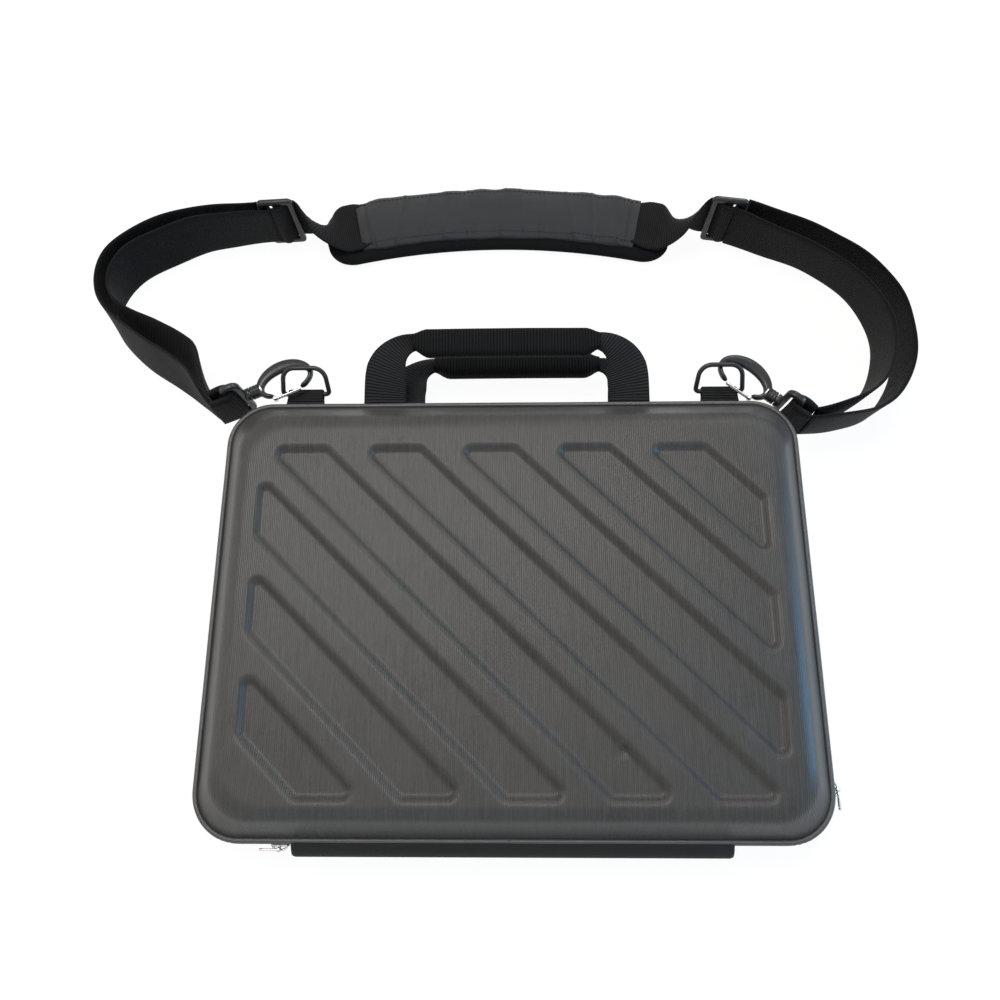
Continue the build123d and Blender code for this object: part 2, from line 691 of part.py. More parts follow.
# ================================================================ every piece, in its place
def main():
    save("base_shell", Pos(0, 0, shell_depth) * Rot(0, 180, 0) * shell(base_panel_phase))
    save("lid_shell", Pos(0, 0, lid_lip) * shell(lid_panel_phase))
    save("base_binding", binding())
    save("lid_binding", upside_down(binding()))
    save("base_zip_tape", zip_tape())
    save("lid_zip_tape", upside_down(zip_tape()))
    save("base_zip_coil", zip_coil())
    save("lid_zip_coil", upside_down(zip_coil()))
    save("zip_stops", zip_stops())
    save("zip_slider_right", at_right_side(slider_right_y) * slider())
    save("zip_pull_right", at_right_side(slider_right_y) * pull())
    save("zip_slider_left", at_hinge_side(slider_left_x) * slider())
    save("zip_pull_left", at_hinge_side(slider_left_x) * pull())
    save("hinge_leaf_base", hinge_leaf(0))
    save("hinge_leaf_lid", upside_down(hinge_leaf(hinge_clearance)))
    save("hinge_cord", hinge_cord())

    save("base_lining", Pos(0, 0, shell_depth) * Rot(0, 180, 0) * lining_cup())
    save("lid_lining", Pos(0, 0, lid_lip) * lining_cup())
    save("laptop_bed", laptop_bed())
    save("retaining_band", retaining_band())
    for name_x, side_x in (("left", -1), ("right", 1)):
        for name_y, side_y in (("near", -1), ("far", 1)):
            save(f"corner_guard_{name_y}_{name_x}", corner_guard(side_x, side_y))
    save("lid_pocket", lid_pocket())
    save("lid_pocket_hem", pocket_hem())

    lid_height = 2 * parting - lip_middle
    for name, span, middle, height, lift in (
            ("front", front_handle_span, front_handle_middle, lid_height, front_handle_lift),
            ("rear", rear_handle_span, rear_handle_middle, lip_middle, -rear_handle_drop)):
        place = Pos(middle, fold_y, height) * Rot(lift, 0, 0)
        save(f"{name}_handle", place * handle(span))
        save(f"{name}_grip", place * grip(span))
        save(f"{name}_handle_anchors", anchors(span, middle, height))

    for name, x in (("left", ring_left_x), ("right", ring_right_x)):
        save(f"ring_tab_{name}", ring_tab(x))
        save(f"d_ring_{name}", d_ring(x))

    for name, place, turn, flip in (("left", hook_left, hook_left_turn, 0),
                                    ("right", hook_right, hook_right_turn, 180)):
        frame = hook_frame(place, turn)
        save(f"hook_{name}", frame * Rot(flip, 0, 0) * hook_body())
        save(f"hook_gate_{name}", frame * Rot(flip, 0, 0) * hook_gate())
        save(f"hook_eye_{name}", frame * hook_eye())
        save(f"strap_end_{name}", frame * bunched_end())

    save("strap_left_outer", strap_run(left_outer_run))
    save("strap_left_return", strap_run(left_return_run))
    save("strap_right_outer", strap_run(right_outer_run))
    save("strap_right_return", strap_run(right_return_run))
    save("adjuster_left", adjuster(adjuster_left, adjuster_left_turn))
    save("adjuster_right", adjuster(adjuster_right, adjuster_right_turn))
    save("strap_twist_left", twist(-1, adjuster_left, adjuster_left_turn))
    save("strap_twist_right", twist(1, adjuster_right, adjuster_right_turn))
    save("strap_pad_run", pad_run())
    save("shoulder_pad", shoulder_pad())
    save("pad_sleeve", pad_sleeve())


main()
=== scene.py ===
import math

import bmesh
import bpy
import numpy as np
from mathutils import Matrix, Vector


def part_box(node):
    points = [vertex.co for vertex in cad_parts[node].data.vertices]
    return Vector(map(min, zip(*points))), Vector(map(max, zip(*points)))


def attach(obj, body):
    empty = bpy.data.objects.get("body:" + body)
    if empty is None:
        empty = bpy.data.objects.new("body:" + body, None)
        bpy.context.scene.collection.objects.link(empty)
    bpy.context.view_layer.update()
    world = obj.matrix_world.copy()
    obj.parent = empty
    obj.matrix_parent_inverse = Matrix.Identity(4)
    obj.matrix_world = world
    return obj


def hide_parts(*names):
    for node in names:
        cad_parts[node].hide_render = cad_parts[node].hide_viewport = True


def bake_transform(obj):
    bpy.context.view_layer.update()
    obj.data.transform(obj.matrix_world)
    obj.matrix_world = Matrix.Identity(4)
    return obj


# Looks of the laptop case. Sizes are in millimetres in the part's frame, and become metres in the meshes.
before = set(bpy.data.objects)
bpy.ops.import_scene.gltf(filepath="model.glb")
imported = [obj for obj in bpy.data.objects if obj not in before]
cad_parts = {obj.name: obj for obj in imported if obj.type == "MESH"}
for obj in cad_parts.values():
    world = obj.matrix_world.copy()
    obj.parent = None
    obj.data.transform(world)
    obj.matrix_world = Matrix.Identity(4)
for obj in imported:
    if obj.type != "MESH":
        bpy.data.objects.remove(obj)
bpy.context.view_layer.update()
MM = 0.001


def node_box(*nodes):
    """Lowest and highest corner of some nodes, in millimetres."""
    boxes = [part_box(node) for node in nodes]
    low = np.min([np.array(b[0]) for b in boxes], axis=0) / MM
    high = np.max([np.array(b[1]) for b in boxes], axis=0) / MM
    return low, high


# ---------------------------------------------------------------- sizes of the case
CASE_LOW, CASE_HIGH = node_box("base_binding")
HALF_X, HALF_Y = CASE_HIGH[0], CASE_HIGH[1]
BASE_LIP = CASE_HIGH[2]
LIP_HEIGHT = CASE_HIGH[2] - CASE_LOW[2]
LID_LIP = node_box("lid_binding")[0][2]
LID_FACE = node_box("lid_shell")[1][2]
SHELL_DEPTH = LID_FACE - LID_LIP
PARTING = (BASE_LIP + LID_LIP) / 2
CORNER = 27.0
BINDING = 1.5
LIP_STEP = 1.5
FACE_INSET = 16.0
FACE_SHIFT = 2.0
FACE_EDGE = 12.0
WALL = 4.0
FACE_THICKNESS = 6.5

PITCH = 55.5                 # of the sunk panels, along X
OPEN = 30.0
SINK = 3.0
FIELD_LOW = np.array([-144.3, -103.0])
FIELD_HIGH = np.array([144.3, 89.0])
PANEL_CORNER = 2.2
LID_PHASE = -34.7
BASE_PHASE = -27.7
FIRST_PANEL, LAST_PANEL = -3, 4
SHOULDER_SOFT = 1.7          # how far the cloth rounds over a panel's shoulder
CREASE_SOFT = 0.5
GRID = 1.15                  # spacing of the shell's surface points

HINGE_HALF = node_box("hinge_leaf_base")[1][0]
TAPE = 7.5
OVERHANG = 0.9
COIL_PITCH = 1.55
ZIP_END = 124.0


# ---------------------------------------------------------------- meshes
def show(name, data):
    """Object of a mesh, curve, lamp or camera, in the scene."""
    thing = bpy.data.objects.new(name, data)
    bpy.context.scene.collection.objects.link(thing)
    return thing


def worked_out(thing):
    """Plain mesh of an object's curve or modifiers."""
    bpy.context.view_layer.update()
    return bpy.data.meshes.new_from_object(thing.evaluated_get(bpy.context.evaluated_depsgraph_get()))


def piece(name, points, faces, finish, cloth=None):
    """Mesh object from points in millimetres. cloth holds each point's place on the cloth, in millimetres."""
    mesh = bpy.data.meshes.new(name)
    mesh.from_pydata((np.asarray(points, float) * MM).tolist(), [], faces)
    mesh.validate()
    if cloth is not None:
        corners = np.empty(len(mesh.loops), int)
        mesh.loops.foreach_get("vertex_index", corners)
        layer = mesh.uv_layers.new(name="cloth")
        layer.data.foreach_set("uv", (np.asarray(cloth, float)[corners] * MM).astype(np.float32).ravel())
    mesh.polygons.foreach_set("use_smooth", [True] * len(mesh.polygons))
    mesh.materials.append(finish)
    return show(name, mesh)


def join(name, things):
    """One object from several that share their finishes."""
    points, faces, cloth, finishes, which = [], [], [], [], []
    start = 0
    for thing in things:
        mesh = thing.data
        points += [v.co[:] for v in mesh.vertices]
        for finish in mesh.materials:
            if finish not in finishes:
                finishes.append(finish)
        for face in mesh.polygons:
            faces.append([start + i for i in face.vertices])
            which.append(finishes.index(mesh.materials[face.material_index]))
            if mesh.uv_layers:
                cloth += [mesh.uv_layers[0].data[i].uv[:] for i in face.loop_indices]
            else:
                cloth += [(0.0, 0.0)] * face.loop_total
        start += len(mesh.vertices)
    mesh = bpy.data.meshes.new(name)
    mesh.from_pydata(points, [], faces)
    layer = mesh.uv_layers.new(name="cloth")
    layer.data.foreach_set("uv", np.array(cloth, np.float32).ravel())
    for finish in finishes:
        mesh.materials.append(finish)
    mesh.polygons.foreach_set("material_index", which)
    mesh.polygons.foreach_set("use_smooth", [True] * len(faces))
    for thing in things:
        old = thing.data
        bpy.data.objects.remove(thing)
        bpy.data.meshes.remove(old)
    return show(name, mesh)


def loft(name, rings, finish, cloth=None, closed=False):
    """Closed skin over rings of points, all with as many points and turning the same way.
    cloth gives each ring's points their place on the cloth. The ends are capped unless they meet."""
    rings = np.asarray(rings, float)
    count, around = rings.shape[:2]
    index = np.arange(count * around).reshape(count, around)
    faces = []
    last = count if closed else count - 1
    for i in range(last):
        here, there = index[i], index[(i + 1) % count]
        for j in range(around):
            k = (j + 1) % around
            faces.append((here[j], here[k], there[k], there[j]))
    if not closed:
        faces.append(index[0][::-1].tolist())
        faces.append(index[-1].tolist())
    flat = None if cloth is None else np.asarray(cloth, float).reshape(-1, 2)
    thing = piece(name, rings.reshape(-1, 3), [list(map(int, f)) for f in faces], finish, flat)
    return outward(thing)


def outward(thing):
    """Turn a closed mesh's faces outwards."""
    mesh = thing.data
    volume = 0.0
    mesh.calc_loop_triangles()
    for t in mesh.loop_triangles:
        a, b, c = (mesh.vertices[i].co for i in t.vertices)
        volume += a.dot(b.cross(c))
    if volume < 0:
        mesh.flip_normals()
    return thing


def unit(v):
    """Vectors of length 1."""
    v = np.asarray(v, float)
    return v / np.linalg.norm(v, axis=-1, keepdims=True)


def squared(value, power):
    """A cosine or sine pushed towards its ends, which squares a round section."""
    return np.sign(value) * np.abs(value) ** power


def lengths(path):
    """Way along a path to each of its points."""
    return np.concatenate([[0], np.cumsum(np.linalg.norm(np.diff(path, axis=0), axis=1))])


def smooth_step(value, low, high):
    """0 below low, 1 above high, smooth between."""
    t = np.clip((np.asarray(value, float) - low) / (high - low), 0, 1)
    return t * t * (3 - 2 * t)


def tangents(path, closed=False):
    """Direction of a path at each of its points."""
    if closed:
        return unit(np.roll(path, -1, axis=0) - np.roll(path, 1, axis=0))
    return unit(np.gradient(path, axis=0))


def resample(path, step):
    """Points at even steps along a polyline."""
    s = lengths(path)
    count = max(2, int(round(s[-1] / step)) + 1)
    even = np.linspace(0, s[-1], count)
    return np.stack([np.interp(even, s, path[:, i]) for i in range(path.shape[1])], axis=1)


def curve_through(points, step):
    """Even points on the smooth NURBS line of a route of control points, in millimetres."""
    data = bpy.data.curves.new("route", "CURVE")
    data.dimensions = "3D"
    spline = data.splines.new("NURBS")
    spline.points.add(len(points) - 1)
    for knot, place in zip(spline.points, points):
        knot.co = (*(np.asarray(place, float) * MM), 1.0)
    spline.order_u = 3
    spline.use_endpoint_u = True
    spline.resolution_u = 16
    guide = show("route", data)
    mesh = worked_out(guide)
    line = np.array([v.co[:] for v in mesh.vertices]) / MM
    bpy.data.objects.remove(guide)
    bpy.data.curves.remove(data)
    bpy.data.meshes.remove(mesh)
    return resample(line, step)


RIBBON_ACROSS = 9            # points over the webbing's width
RIBBON_EDGE = 0.35           # share of the thickness that is left at its two edges


def ribbon(name, path, across, width, thickness, finish, bow=0.0, wave=0.0):
    """Webbing along a path. across is the unit direction of its width at each point, bow lifts its middle,
    and wave ripples its edges slightly."""
    path = np.asarray(path, float)
    count = len(path)
    across = unit(np.broadcast_to(across, path.shape))
    along = tangents(path)
    out = unit(np.cross(along, across))
    width = np.broadcast_to(width, count)
    bow = np.broadcast_to(bow, count)
    s = lengths(path)
    edge = np.cos(np.linspace(0, math.pi, RIBBON_ACROSS))
    top = [(a, 1.0 if abs(a) < 0.99 else RIBBON_EDGE) for a in edge]
    section = top + [(a, -b) for a, b in reversed(top)]
    rings, cloth = [], []
    for i in range(count):
        ripple = wave * math.sin(s[i] / 9.0 + 1.3) * math.sin(s[i] / 23.0)
        ring = []
        for a, b in section:
            lift = b * thickness / 2 + bow[i] * (1 - a * a) + ripple * a * a
            ring.append(path[i] + across[i] * (a * width[i] / 2) + out[i] * lift)
        rings.append(ring)
        cloth.append([(a * width[i] / 2, s[i]) for a, _ in section])
    return loft(name, rings, finish, cloth)


def rod(name, path, radius, finish, closed=False, around=12, up=(0, 0, 1)):
    """Round bar along a path."""
    path = np.asarray(path, float)
    along = tangents(path, closed)
    side = unit(np.cross(along, np.asarray(up, float)) + 1e-9)
    above = np.cross(side, along)
    radius = np.broadcast_to(radius, len(path))
    turn = np.linspace(0, 2 * math.pi, around, endpoint=False)
    rings = [p + r * (np.outer(np.cos(turn), u) + np.outer(np.sin(turn), v))
             for p, r, u, v in zip(path, radius, side, above)]
    s = lengths(path)
    cloth = [[(a * r, d) for a in turn] for d, r in zip(s, radius)]
    return loft(name, rings, finish, cloth, closed)


def rounded_slab(name, outlines, thickness, soft, place, finish):
    """Flat moulded part from an outline with holes: a list of closed plan outlines, the outer one first.
    The edges are rounded by soft, and place turns the part's own frame into the case's."""
    data = bpy.data.curves.new(name, "CURVE")
    data.dimensions = "2D"
    data.fill_mode = "BOTH"
    data.extrude = (thickness / 2 - soft) * MM
    data.bevel_depth = soft * MM
    data.bevel_resolution = 3
    data.offset = -soft * MM
    for outline in outlines:
        spline = data.splines.new("POLY")
        spline.points.add(len(outline) - 1)
        for knot, (x, y) in zip(spline.points, outline):
            knot.co = (x * MM, y * MM, 0, 1)
        spline.use_cyclic_u = True
    guide = show(name, data)
    mesh = worked_out(guide)
    bpy.data.objects.remove(guide)
    bpy.data.curves.remove(data)
    points = np.array([v.co[:] for v in mesh.vertices]) / MM
    faces = [list(p.vertices) for p in mesh.polygons]
    bpy.data.meshes.remove(mesh)
    points = np.array([tuple(place @ Vector(p)) for p in points])
    thing = piece(name, points, faces, finish)
    merge(thing)
    thing.data.shade_smooth()
    keep_edges(thing)
    return thing


WELD = 0.01                  # points nearer than this become one


def merge(thing):
    """Weld doubled points and turn the faces outwards."""
    work = bmesh.new()
    work.from_mesh(thing.data)
    bmesh.ops.remove_doubles(work, verts=work.verts, dist=WELD * MM)
    bmesh.ops.recalc_face_normals(work, faces=work.faces)
    work.to_mesh(thing.data)
    work.free()


def keep_edges(thing, angle=40.0):
    """Shade smooth, but leave sharp edges sharp."""
    thing.data.set_sharp_from_angle(angle=math.radians(angle))


# ---------------------------------------------------------------- finishes
# Tones are linear, and the sizes of grains and ribs are in millimetres.
class Value:
    """A shader socket that sums and products can be written on."""

    def __init__(self, finish, socket):
        self.finish, self.socket = finish, socket

    def math(self, operation, *others):
        node = self.finish.node("ShaderNodeMath", {"operation": operation}, *((self,) + others))
        return self.finish.value(node)

    def __add__(self, other): return self.math("ADD", other)
    def __radd__(self, other): return self.math("ADD", other)
    def __sub__(self, other): return self.math("SUBTRACT", other)
    def __rsub__(self, other): return self.finish.constant(other).math("SUBTRACT", self)
    def __mul__(self, other): return self.math("MULTIPLY", other)
    def __rmul__(self, other): return self.math("MULTIPLY", other)
    def __truediv__(self, other): return self.math("DIVIDE", other)
    def sin(self): return self.math("SINE")
    def abs(self): return self.math("ABSOLUTE")
    def floor(self): return self.math("FLOOR")

    def ramp(self, low, high):
        """0 below low, 1 above high, smooth between."""
        node = self.finish.node("ShaderNodeMapRange", {"interpolation_type": "SMOOTHSTEP", "clamp": True},
                                self, low, high, 0.0, 1.0)
        return self.finish.value(node)


class Finish:
    """A material and the few ways its nodes are made."""

    def __init__(self, name):
        self.material = bpy.data.materials.new(name)
        self.material.use_nodes = True
        self.tree = self.material.node_tree
        self.tree.nodes.clear()
        self.shader = self.node("ShaderNodeBsdfPrincipled")
        self.output = self.node("ShaderNodeOutputMaterial")
        self.tree.links.new(self.shader.outputs[0], self.output.inputs[0])

    def node(self, kind, settings=None, *inputs, **named):
        """Node of a type, with its settings first and then what its sockets get."""
        node = self.tree.nodes.new(kind)
        for key, value in (settings or {}).items():
            setattr(node, key, value)
        for slot, value in list(enumerate(inputs)) + list(named.items()):
            self.put(node.inputs[slot], value)
        return node

    def put(self, socket, value):
        """Link a socket to a value, or write a number in it."""
        if isinstance(value, Value):
            self.tree.links.new(value.socket, socket)
        elif value is not None:
            socket.default_value = value

    def value(self, node, output=0):
        return Value(self, node.outputs[output])

    def constant(self, number):
        node = self.node("ShaderNodeValue")
        node.outputs[0].default_value = number
        return self.value(node)

    def place(self):
        """Place on the object, in millimetres, as three values and a vector."""
        source = self.value(self.node("ShaderNodeTexCoord"), "Object")
        scaled = self.value(self.node("ShaderNodeVectorMath", {"operation": "SCALE"}, source, Scale=1 / MM))
        return self.split(scaled)

    def cloth(self):
        """Place across and along the piece's own cloth, in millimetres."""
        source = self.value(self.node("ShaderNodeUVMap", {"uv_map": "cloth"}))
        scaled = self.value(self.node("ShaderNodeVectorMath", {"operation": "SCALE"}, source, Scale=1 / MM))
        return self.split(scaled)[:2]

    def split(self, vector):
        parts = self.node("ShaderNodeSeparateXYZ", None, vector)
        return [self.value(parts, i) for i in range(3)] + [vector]

    def vector(self, x, y, z=0.0):
        return self.value(self.node("ShaderNodeCombineXYZ", None, x, y, z))

    def noise(self, vector, size, detail, roughness=0.5):
        """Noise from 0 to 1 whose grains are about size millimetres."""
        node = self.node("ShaderNodeTexNoise", None, Vector=vector, Scale=1 / size, Detail=detail,
                         Roughness=roughness)
        return self.value(node)

    def mix(self, factor, first, second):
        """Blend of two colours."""
        node = self.node("ShaderNodeMix", {"data_type": "RGBA"})
        for slot, value in ((0, factor), (6, colour(first)), (7, colour(second))):
            self.put(node.inputs[slot], value)
        return self.value(node, 2)

    def finish(self, base, rough, height=None, bump=0.3, metal=0.0, sheen=0.0, specular=0.5):
        """Set the surface. height is in millimetres."""
        self.put(self.shader.inputs["Base Color"], colour(base))
        self.put(self.shader.inputs["Roughness"], rough)
        self.put(self.shader.inputs["Metallic"], metal)
        self.shader.inputs["Sheen Weight"].default_value = sheen
        self.shader.inputs["Sheen Roughness"].default_value = 0.45
        self.shader.inputs["Specular IOR Level"].default_value = specular
        if height is not None:
            node = self.node("ShaderNodeBump", None, Strength=bump, Distance=MM, Height=height)
            self.put(self.shader.inputs["Normal"], self.value(node))
        return self.material


def colour(value):
    """A colour with its fourth number. Links pass through."""
    return (*value, 1.0) if isinstance(value, tuple) and len(value) == 3 else value


def shell_cloth():
    """Coated cloth with fine upright ribs, moulded over foam."""
    f = Finish("ribbed shell cloth")
    x, y, z, place = f.place()
    drift = (f.noise(f.vector(x * 0.02, y * 0.02, z * 0.02), 1.0, 2.0) - 0.5) * 1.6
    rib = ((x + drift) * (2 * math.pi / 1.08)).sin()
    rib_strength = f.noise(f.vector(x * 0.75, y * 0.16, z * 0.16), 1.0, 2.0)
    pick = f.noise(f.vector(x * 1.5, y * 0.55, z * 0.55), 1.0, 3.0, 0.6)
    grain = f.noise(place, 0.35, 2.0, 0.6)
    height = rib * (0.03 + rib_strength * 0.07) + pick * 0.10 + grain * 0.04
    cloud = f.noise(place, 46.0, 3.0, 0.55)
    streak = f.noise(f.vector(x * 0.9, y * 0.05, z * 0.05), 1.0, 2.0)
    worn = f.mix(cloud.ramp(0.3, 0.75), (0.022, 0.021, 0.020), (0.034, 0.032, 0.030))
    # The rib term makes the colour a little lighter on the ribs' crests: painted highlight on the ribs.
    base = f.mix((streak * 0.6 + pick * 0.5 + rib * 0.08).ramp(0.35, 0.8), worn, (0.050, 0.047, 0.043))
    rough = 0.40 + cloud * 0.07 - pick * 0.08 + (1 - rib_strength) * 0.05
    return f.finish(base, rough, height, bump=0.55, sheen=0.03, specular=0.34)


def webbing_cloth(name, rib, tone, depth, sheen=0.25):
    """Woven webbing with fine ribs across it, with painted shade in the grooves and painted highlight on the
    crests.
    """
    f = Finish(name)
    across, along = f.cloth()
    wander = (f.noise(f.vector(across * 0.08, along * 0.03), 1.0, 1.0) - 0.5) * 0.8
    ribs = ((along + wander) * (math.pi / rib)).sin().abs()
    threads = ((across + (along / rib).floor() * 0.45) * (2 * math.pi / 0.9)).sin() * 0.5 + 0.5
    fuzz = f.noise(f.vector(across * 2.2, along * 2.2), 1.0, 3.0, 0.65)
    height = ribs * depth + threads * 0.06 * ribs + fuzz * 0.10
    cloud = f.noise(f.vector(across * 0.05, along * 0.03), 1.0, 2.0)
    # Painted shade and highlight: the colour runs from a dark tone in the grooves between the ribs to a light
    # tone on their crests.
    groove_shade_tone = tuple(0.28 * c for c in tone)
    light = tuple(2.9 * c for c in tone)
    base = f.mix(ribs * (0.4 + 0.6 * fuzz), groove_shade_tone, light)
    base = f.mix((cloud - 0.35) * 0.5, base, light)
    rough = 0.58 + fuzz * 0.2 - ribs * 0.08
    return f.finish(base, rough, height, bump=1.0, sheen=sheen, specular=0.07)


def plain_weave(name, thread, tone, gloss, sheen=0.1, height_scale=1.0, specular=0.2):
    """Fine plain-woven nylon on the piece's own cloth map."""
    f = Finish(name)
    across, along = f.cloth()
    over = (across * (math.pi / thread)).sin() * (along * (math.pi / thread)).sin()
    bumpy = over.abs()
    fuzz = f.noise(f.vector(across * 1.6, along * 1.6), 1.0, 3.0, 0.6)
    crumple = f.noise(f.vector(across * 0.10, along * 0.07), 1.0, 3.0, 0.5)
    height = bumpy * 0.12 * height_scale + fuzz * 0.05 + crumple * 0.5 * height_scale
    base = f.mix(bumpy * 0.6 + fuzz * 0.4, tuple(0.6 * c for c in tone), tuple(1.5 * c for c in tone))
    rough = gloss + fuzz * 0.15 + crumple * 0.08
    return f.finish(base, rough, height, bump=0.6, sheen=sheen, specular=specular)


def felt(name, tone, size):
    """Brushed felt or lining cloth."""
    f = Finish(name)
    place = f.place()[3]
    fuzz = f.noise(place, size, 4.0, 0.7)
    clump = f.noise(place, 7.0, 3.0, 0.6)
    base = f.mix(fuzz * 0.7 + clump * 0.3, tuple(0.6 * c for c in tone), tuple(1.5 * c for c in tone))
    return f.finish(base, 0.85 + clump * 0.1, fuzz * 0.5 + clump * 0.3, bump=0.6, sheen=0.04, specular=0.06)


def moulded(name, tone, rough):
    """Moulded or coated black hardware with light wear."""
    f = Finish(name)
    place = f.place()[3]
    grain = f.noise(place, 0.5, 3.0, 0.6)
    rub = f.noise(place, 5.0, 3.0, 0.6)
    base = f.mix(rub.ramp(0.45, 0.75), tone, tuple(1.9 * c for c in tone))
    return f.finish(base, rough + grain * 0.18 - rub * 0.1, grain * 0.05 + rub * 0.075, bump=0.4,
                    specular=0.3)


def metal(name, tone, rough=0.22):
    """Plated metal with fine scuffs."""
    f = Finish(name)
    x, y, z, place = f.place()
    scuff = f.noise(f.vector(x * 0.6, y * 2.5, z * 2.5), 1.0, 3.0, 0.7)
    dull = f.noise(place, 3.0, 2.0)
    base = f.mix(dull.ramp(0.45, 0.8), tone, tuple(0.55 * c for c in tone))
    return f.finish(base, rough + scuff * 0.2, scuff * 0.04, bump=0.3, metal=1.0)


SHELL = shell_cloth()
BINDING_CLOTH = plain_weave("binding tape", 0.4, (0.026, 0.0255, 0.025), 0.28, 0.05, 0.6, 0.7)
ZIP_TAPE = webbing_cloth("zip tape", 0.8, (0.010, 0.010, 0.0105), 0.1, 0.05)
HANDLE_WEBBING = webbing_cloth("handle webbing", 1.75, (0.0098, 0.0097, 0.0100), 0.42, 0.03)
# The grips are much darker than the handle's webbing: partly their own darker cloth, partly painted shade
# matching the rear grip in the front handle's shade.
GRIP_WEBBING = webbing_cloth("grip webbing", 1.9, (0.0034, 0.0034, 0.0035), 0.42, 0.01)
STRAP_WEBBING = webbing_cloth("strap webbing", 1.3, (0.0058, 0.0054, 0.0055), 0.24, 0.03)
HINGE_CLOTH = plain_weave("hinge cloth", 0.5, (0.012, 0.012, 0.013), 0.6, 0.04)
SLEEVE = plain_weave("sleeve nylon", 0.42, (0.0115, 0.0120, 0.0130), 0.34, 0.03, 2.2, 0.34)
PAD_FELT = felt("pad felt", (0.0075, 0.0075, 0.008), 0.8)
LINING_FELT = felt("lining cloth", (0.16, 0.16, 0.165), 0.5)
POCKET = plain_weave("pocket cloth", 0.6, (0.11, 0.11, 0.115), 0.75)
ELASTIC = webbing_cloth("elastic tape", 1.1, (0.025, 0.025, 0.027), 0.15)
GUARD_CLOTH = felt("guard cloth", (0.030, 0.030, 0.032), 0.6)
THREAD = plain_weave("stitching thread", 0.25, (0.022, 0.022, 0.023), 0.55)
COIL = moulded("zip coil", (0.035, 0.035, 0.036), 0.3)
BLACK_HARDWARE = moulded("black hardware", (0.016, 0.016, 0.017), 0.28)
BLACK_WIRE = moulded("black wire", (0.020, 0.020, 0.021), 0.3)
NICKEL = metal("nickel plate", (0.62, 0.61, 0.59))
SPRING_STEEL = metal("spring steel", (0.72, 0.71, 0.69), 0.16)


# ---------------------------------------------------------------- repeated beads: stitches and coil teeth
BEAD_SEED = 3


def bead_tree():
    """Geometry Nodes that set rounded beads at even steps along a line."""
    tree = bpy.data.node_groups.new("beads along a line", "GeometryNodeTree")
    face = tree.interface
    face.new_socket("Line", in_out="INPUT", socket_type="NodeSocketGeometry")
    for name, kind, default in (("Pitch", "NodeSocketFloat", 0.003),
                                ("Bead size", "NodeSocketVector", (1, 1, 1)),
                                ("Wander", "NodeSocketFloat", 0.0), ("Seed", "NodeSocketInt", BEAD_SEED)):
        face.new_socket(name, in_out="INPUT", socket_type=kind).default_value = default
    face.new_socket("Finish", in_out="INPUT", socket_type="NodeSocketMaterial")
    face.new_socket("Beads", in_out="OUTPUT", socket_type="NodeSocketGeometry")

    def node(kind, **settings):
        made = tree.nodes.new(kind)
        for key, value in settings.items():
            setattr(made, key, value)
        return made

    def link(source, target):
        tree.links.new(source, target)

    given = node("NodeGroupInput")
    to_curve = node("GeometryNodeMeshToCurve")
    normals = node("GeometryNodeSetCurveNormal", mode="Z_UP")
    steps = node("GeometryNodeCurveToPoints", mode="LENGTH")
    ball = node("GeometryNodeMeshUVSphere")
    ball.inputs["Segments"].default_value = 8
    ball.inputs["Rings"].default_value = 5
    ball.inputs["Radius"].default_value = 0.5
    turned = node("FunctionNodeRotateRotation", rotation_space="LOCAL")
    angle = node("ShaderNodeCombineXYZ")
    chance = node("FunctionNodeRandomValue", data_type="FLOAT")
    place = node("GeometryNodeInstanceOnPoints")
    real = node("GeometryNodeRealizeInstances")
    smooth = node("GeometryNodeSetShadeSmooth")
    dress = node("GeometryNodeSetMaterial")
    low = node("ShaderNodeMath", operation="MULTIPLY")
    low.inputs[1].default_value = -1.0
    to_rotation = node("FunctionNodeEulerToRotation")
    out = node("NodeGroupOutput")

    link(given.outputs["Line"], to_curve.inputs["Mesh"])
    link(to_curve.outputs["Curve"], normals.inputs["Curve"])
    link(normals.outputs["Curve"], steps.inputs["Curve"])
    link(given.outputs["Pitch"], steps.inputs["Length"])
    link(given.outputs["Wander"], low.inputs[0])
    link(low.outputs[0], chance.inputs[2])
    link(given.outputs["Wander"], chance.inputs[3])
    link(given.outputs["Seed"], chance.inputs["Seed"])
    link(chance.outputs[1], angle.inputs["X"])
    link(angle.outputs[0], to_rotation.inputs[0])
    link(steps.outputs["Rotation"], turned.inputs[0])
    link(to_rotation.outputs[0], turned.inputs[1])
    link(steps.outputs["Points"], place.inputs["Points"])
    link(ball.outputs["Mesh"], place.inputs["Instance"])
    link(turned.outputs[0], place.inputs["Rotation"])
    link(given.outputs["Bead size"], place.inputs["Scale"])
    link(place.outputs["Instances"], real.inputs["Geometry"])
    link(real.outputs["Geometry"], smooth.inputs["Geometry"])
    link(smooth.outputs["Geometry"], dress.inputs["Geometry"])
    link(given.outputs["Finish"], dress.inputs["Material"])
    link(dress.outputs["Geometry"], out.inputs[0])
    return tree


BEADS = bead_tree()


def beads(name, lines, pitch, size, finish, wander=0.0):
    """Beads along several lines, in millimetres. size is (height, width, length along the line)."""
    points, edges = [], []
    for line in lines:
        start = len(points)
        points += (np.asarray(line, float) * MM).tolist()
        edges += [(i, i + 1) for i in range(start, len(points) - 1)]
    mesh = bpy.data.meshes.new(name)
    mesh.from_pydata(points, edges, [])
    thing = show(name, mesh)
    modifier = thing.modifiers.new("beads", "NODES")
    modifier.node_group = BEADS
    given = {"Pitch": pitch * MM, "Bead size": [v * MM for v in size], "Wander": wander,
             "Seed": BEAD_SEED, "Finish": finish}
    for item in BEADS.interface.items_tree:
        if item.in_out == "INPUT" and item.name in given:
            modifier[item.identifier] = given[item.name]
    made = worked_out(thing)
    thing.modifiers.clear()
    thing.data = made
    bpy.data.meshes.remove(mesh)
    return thing


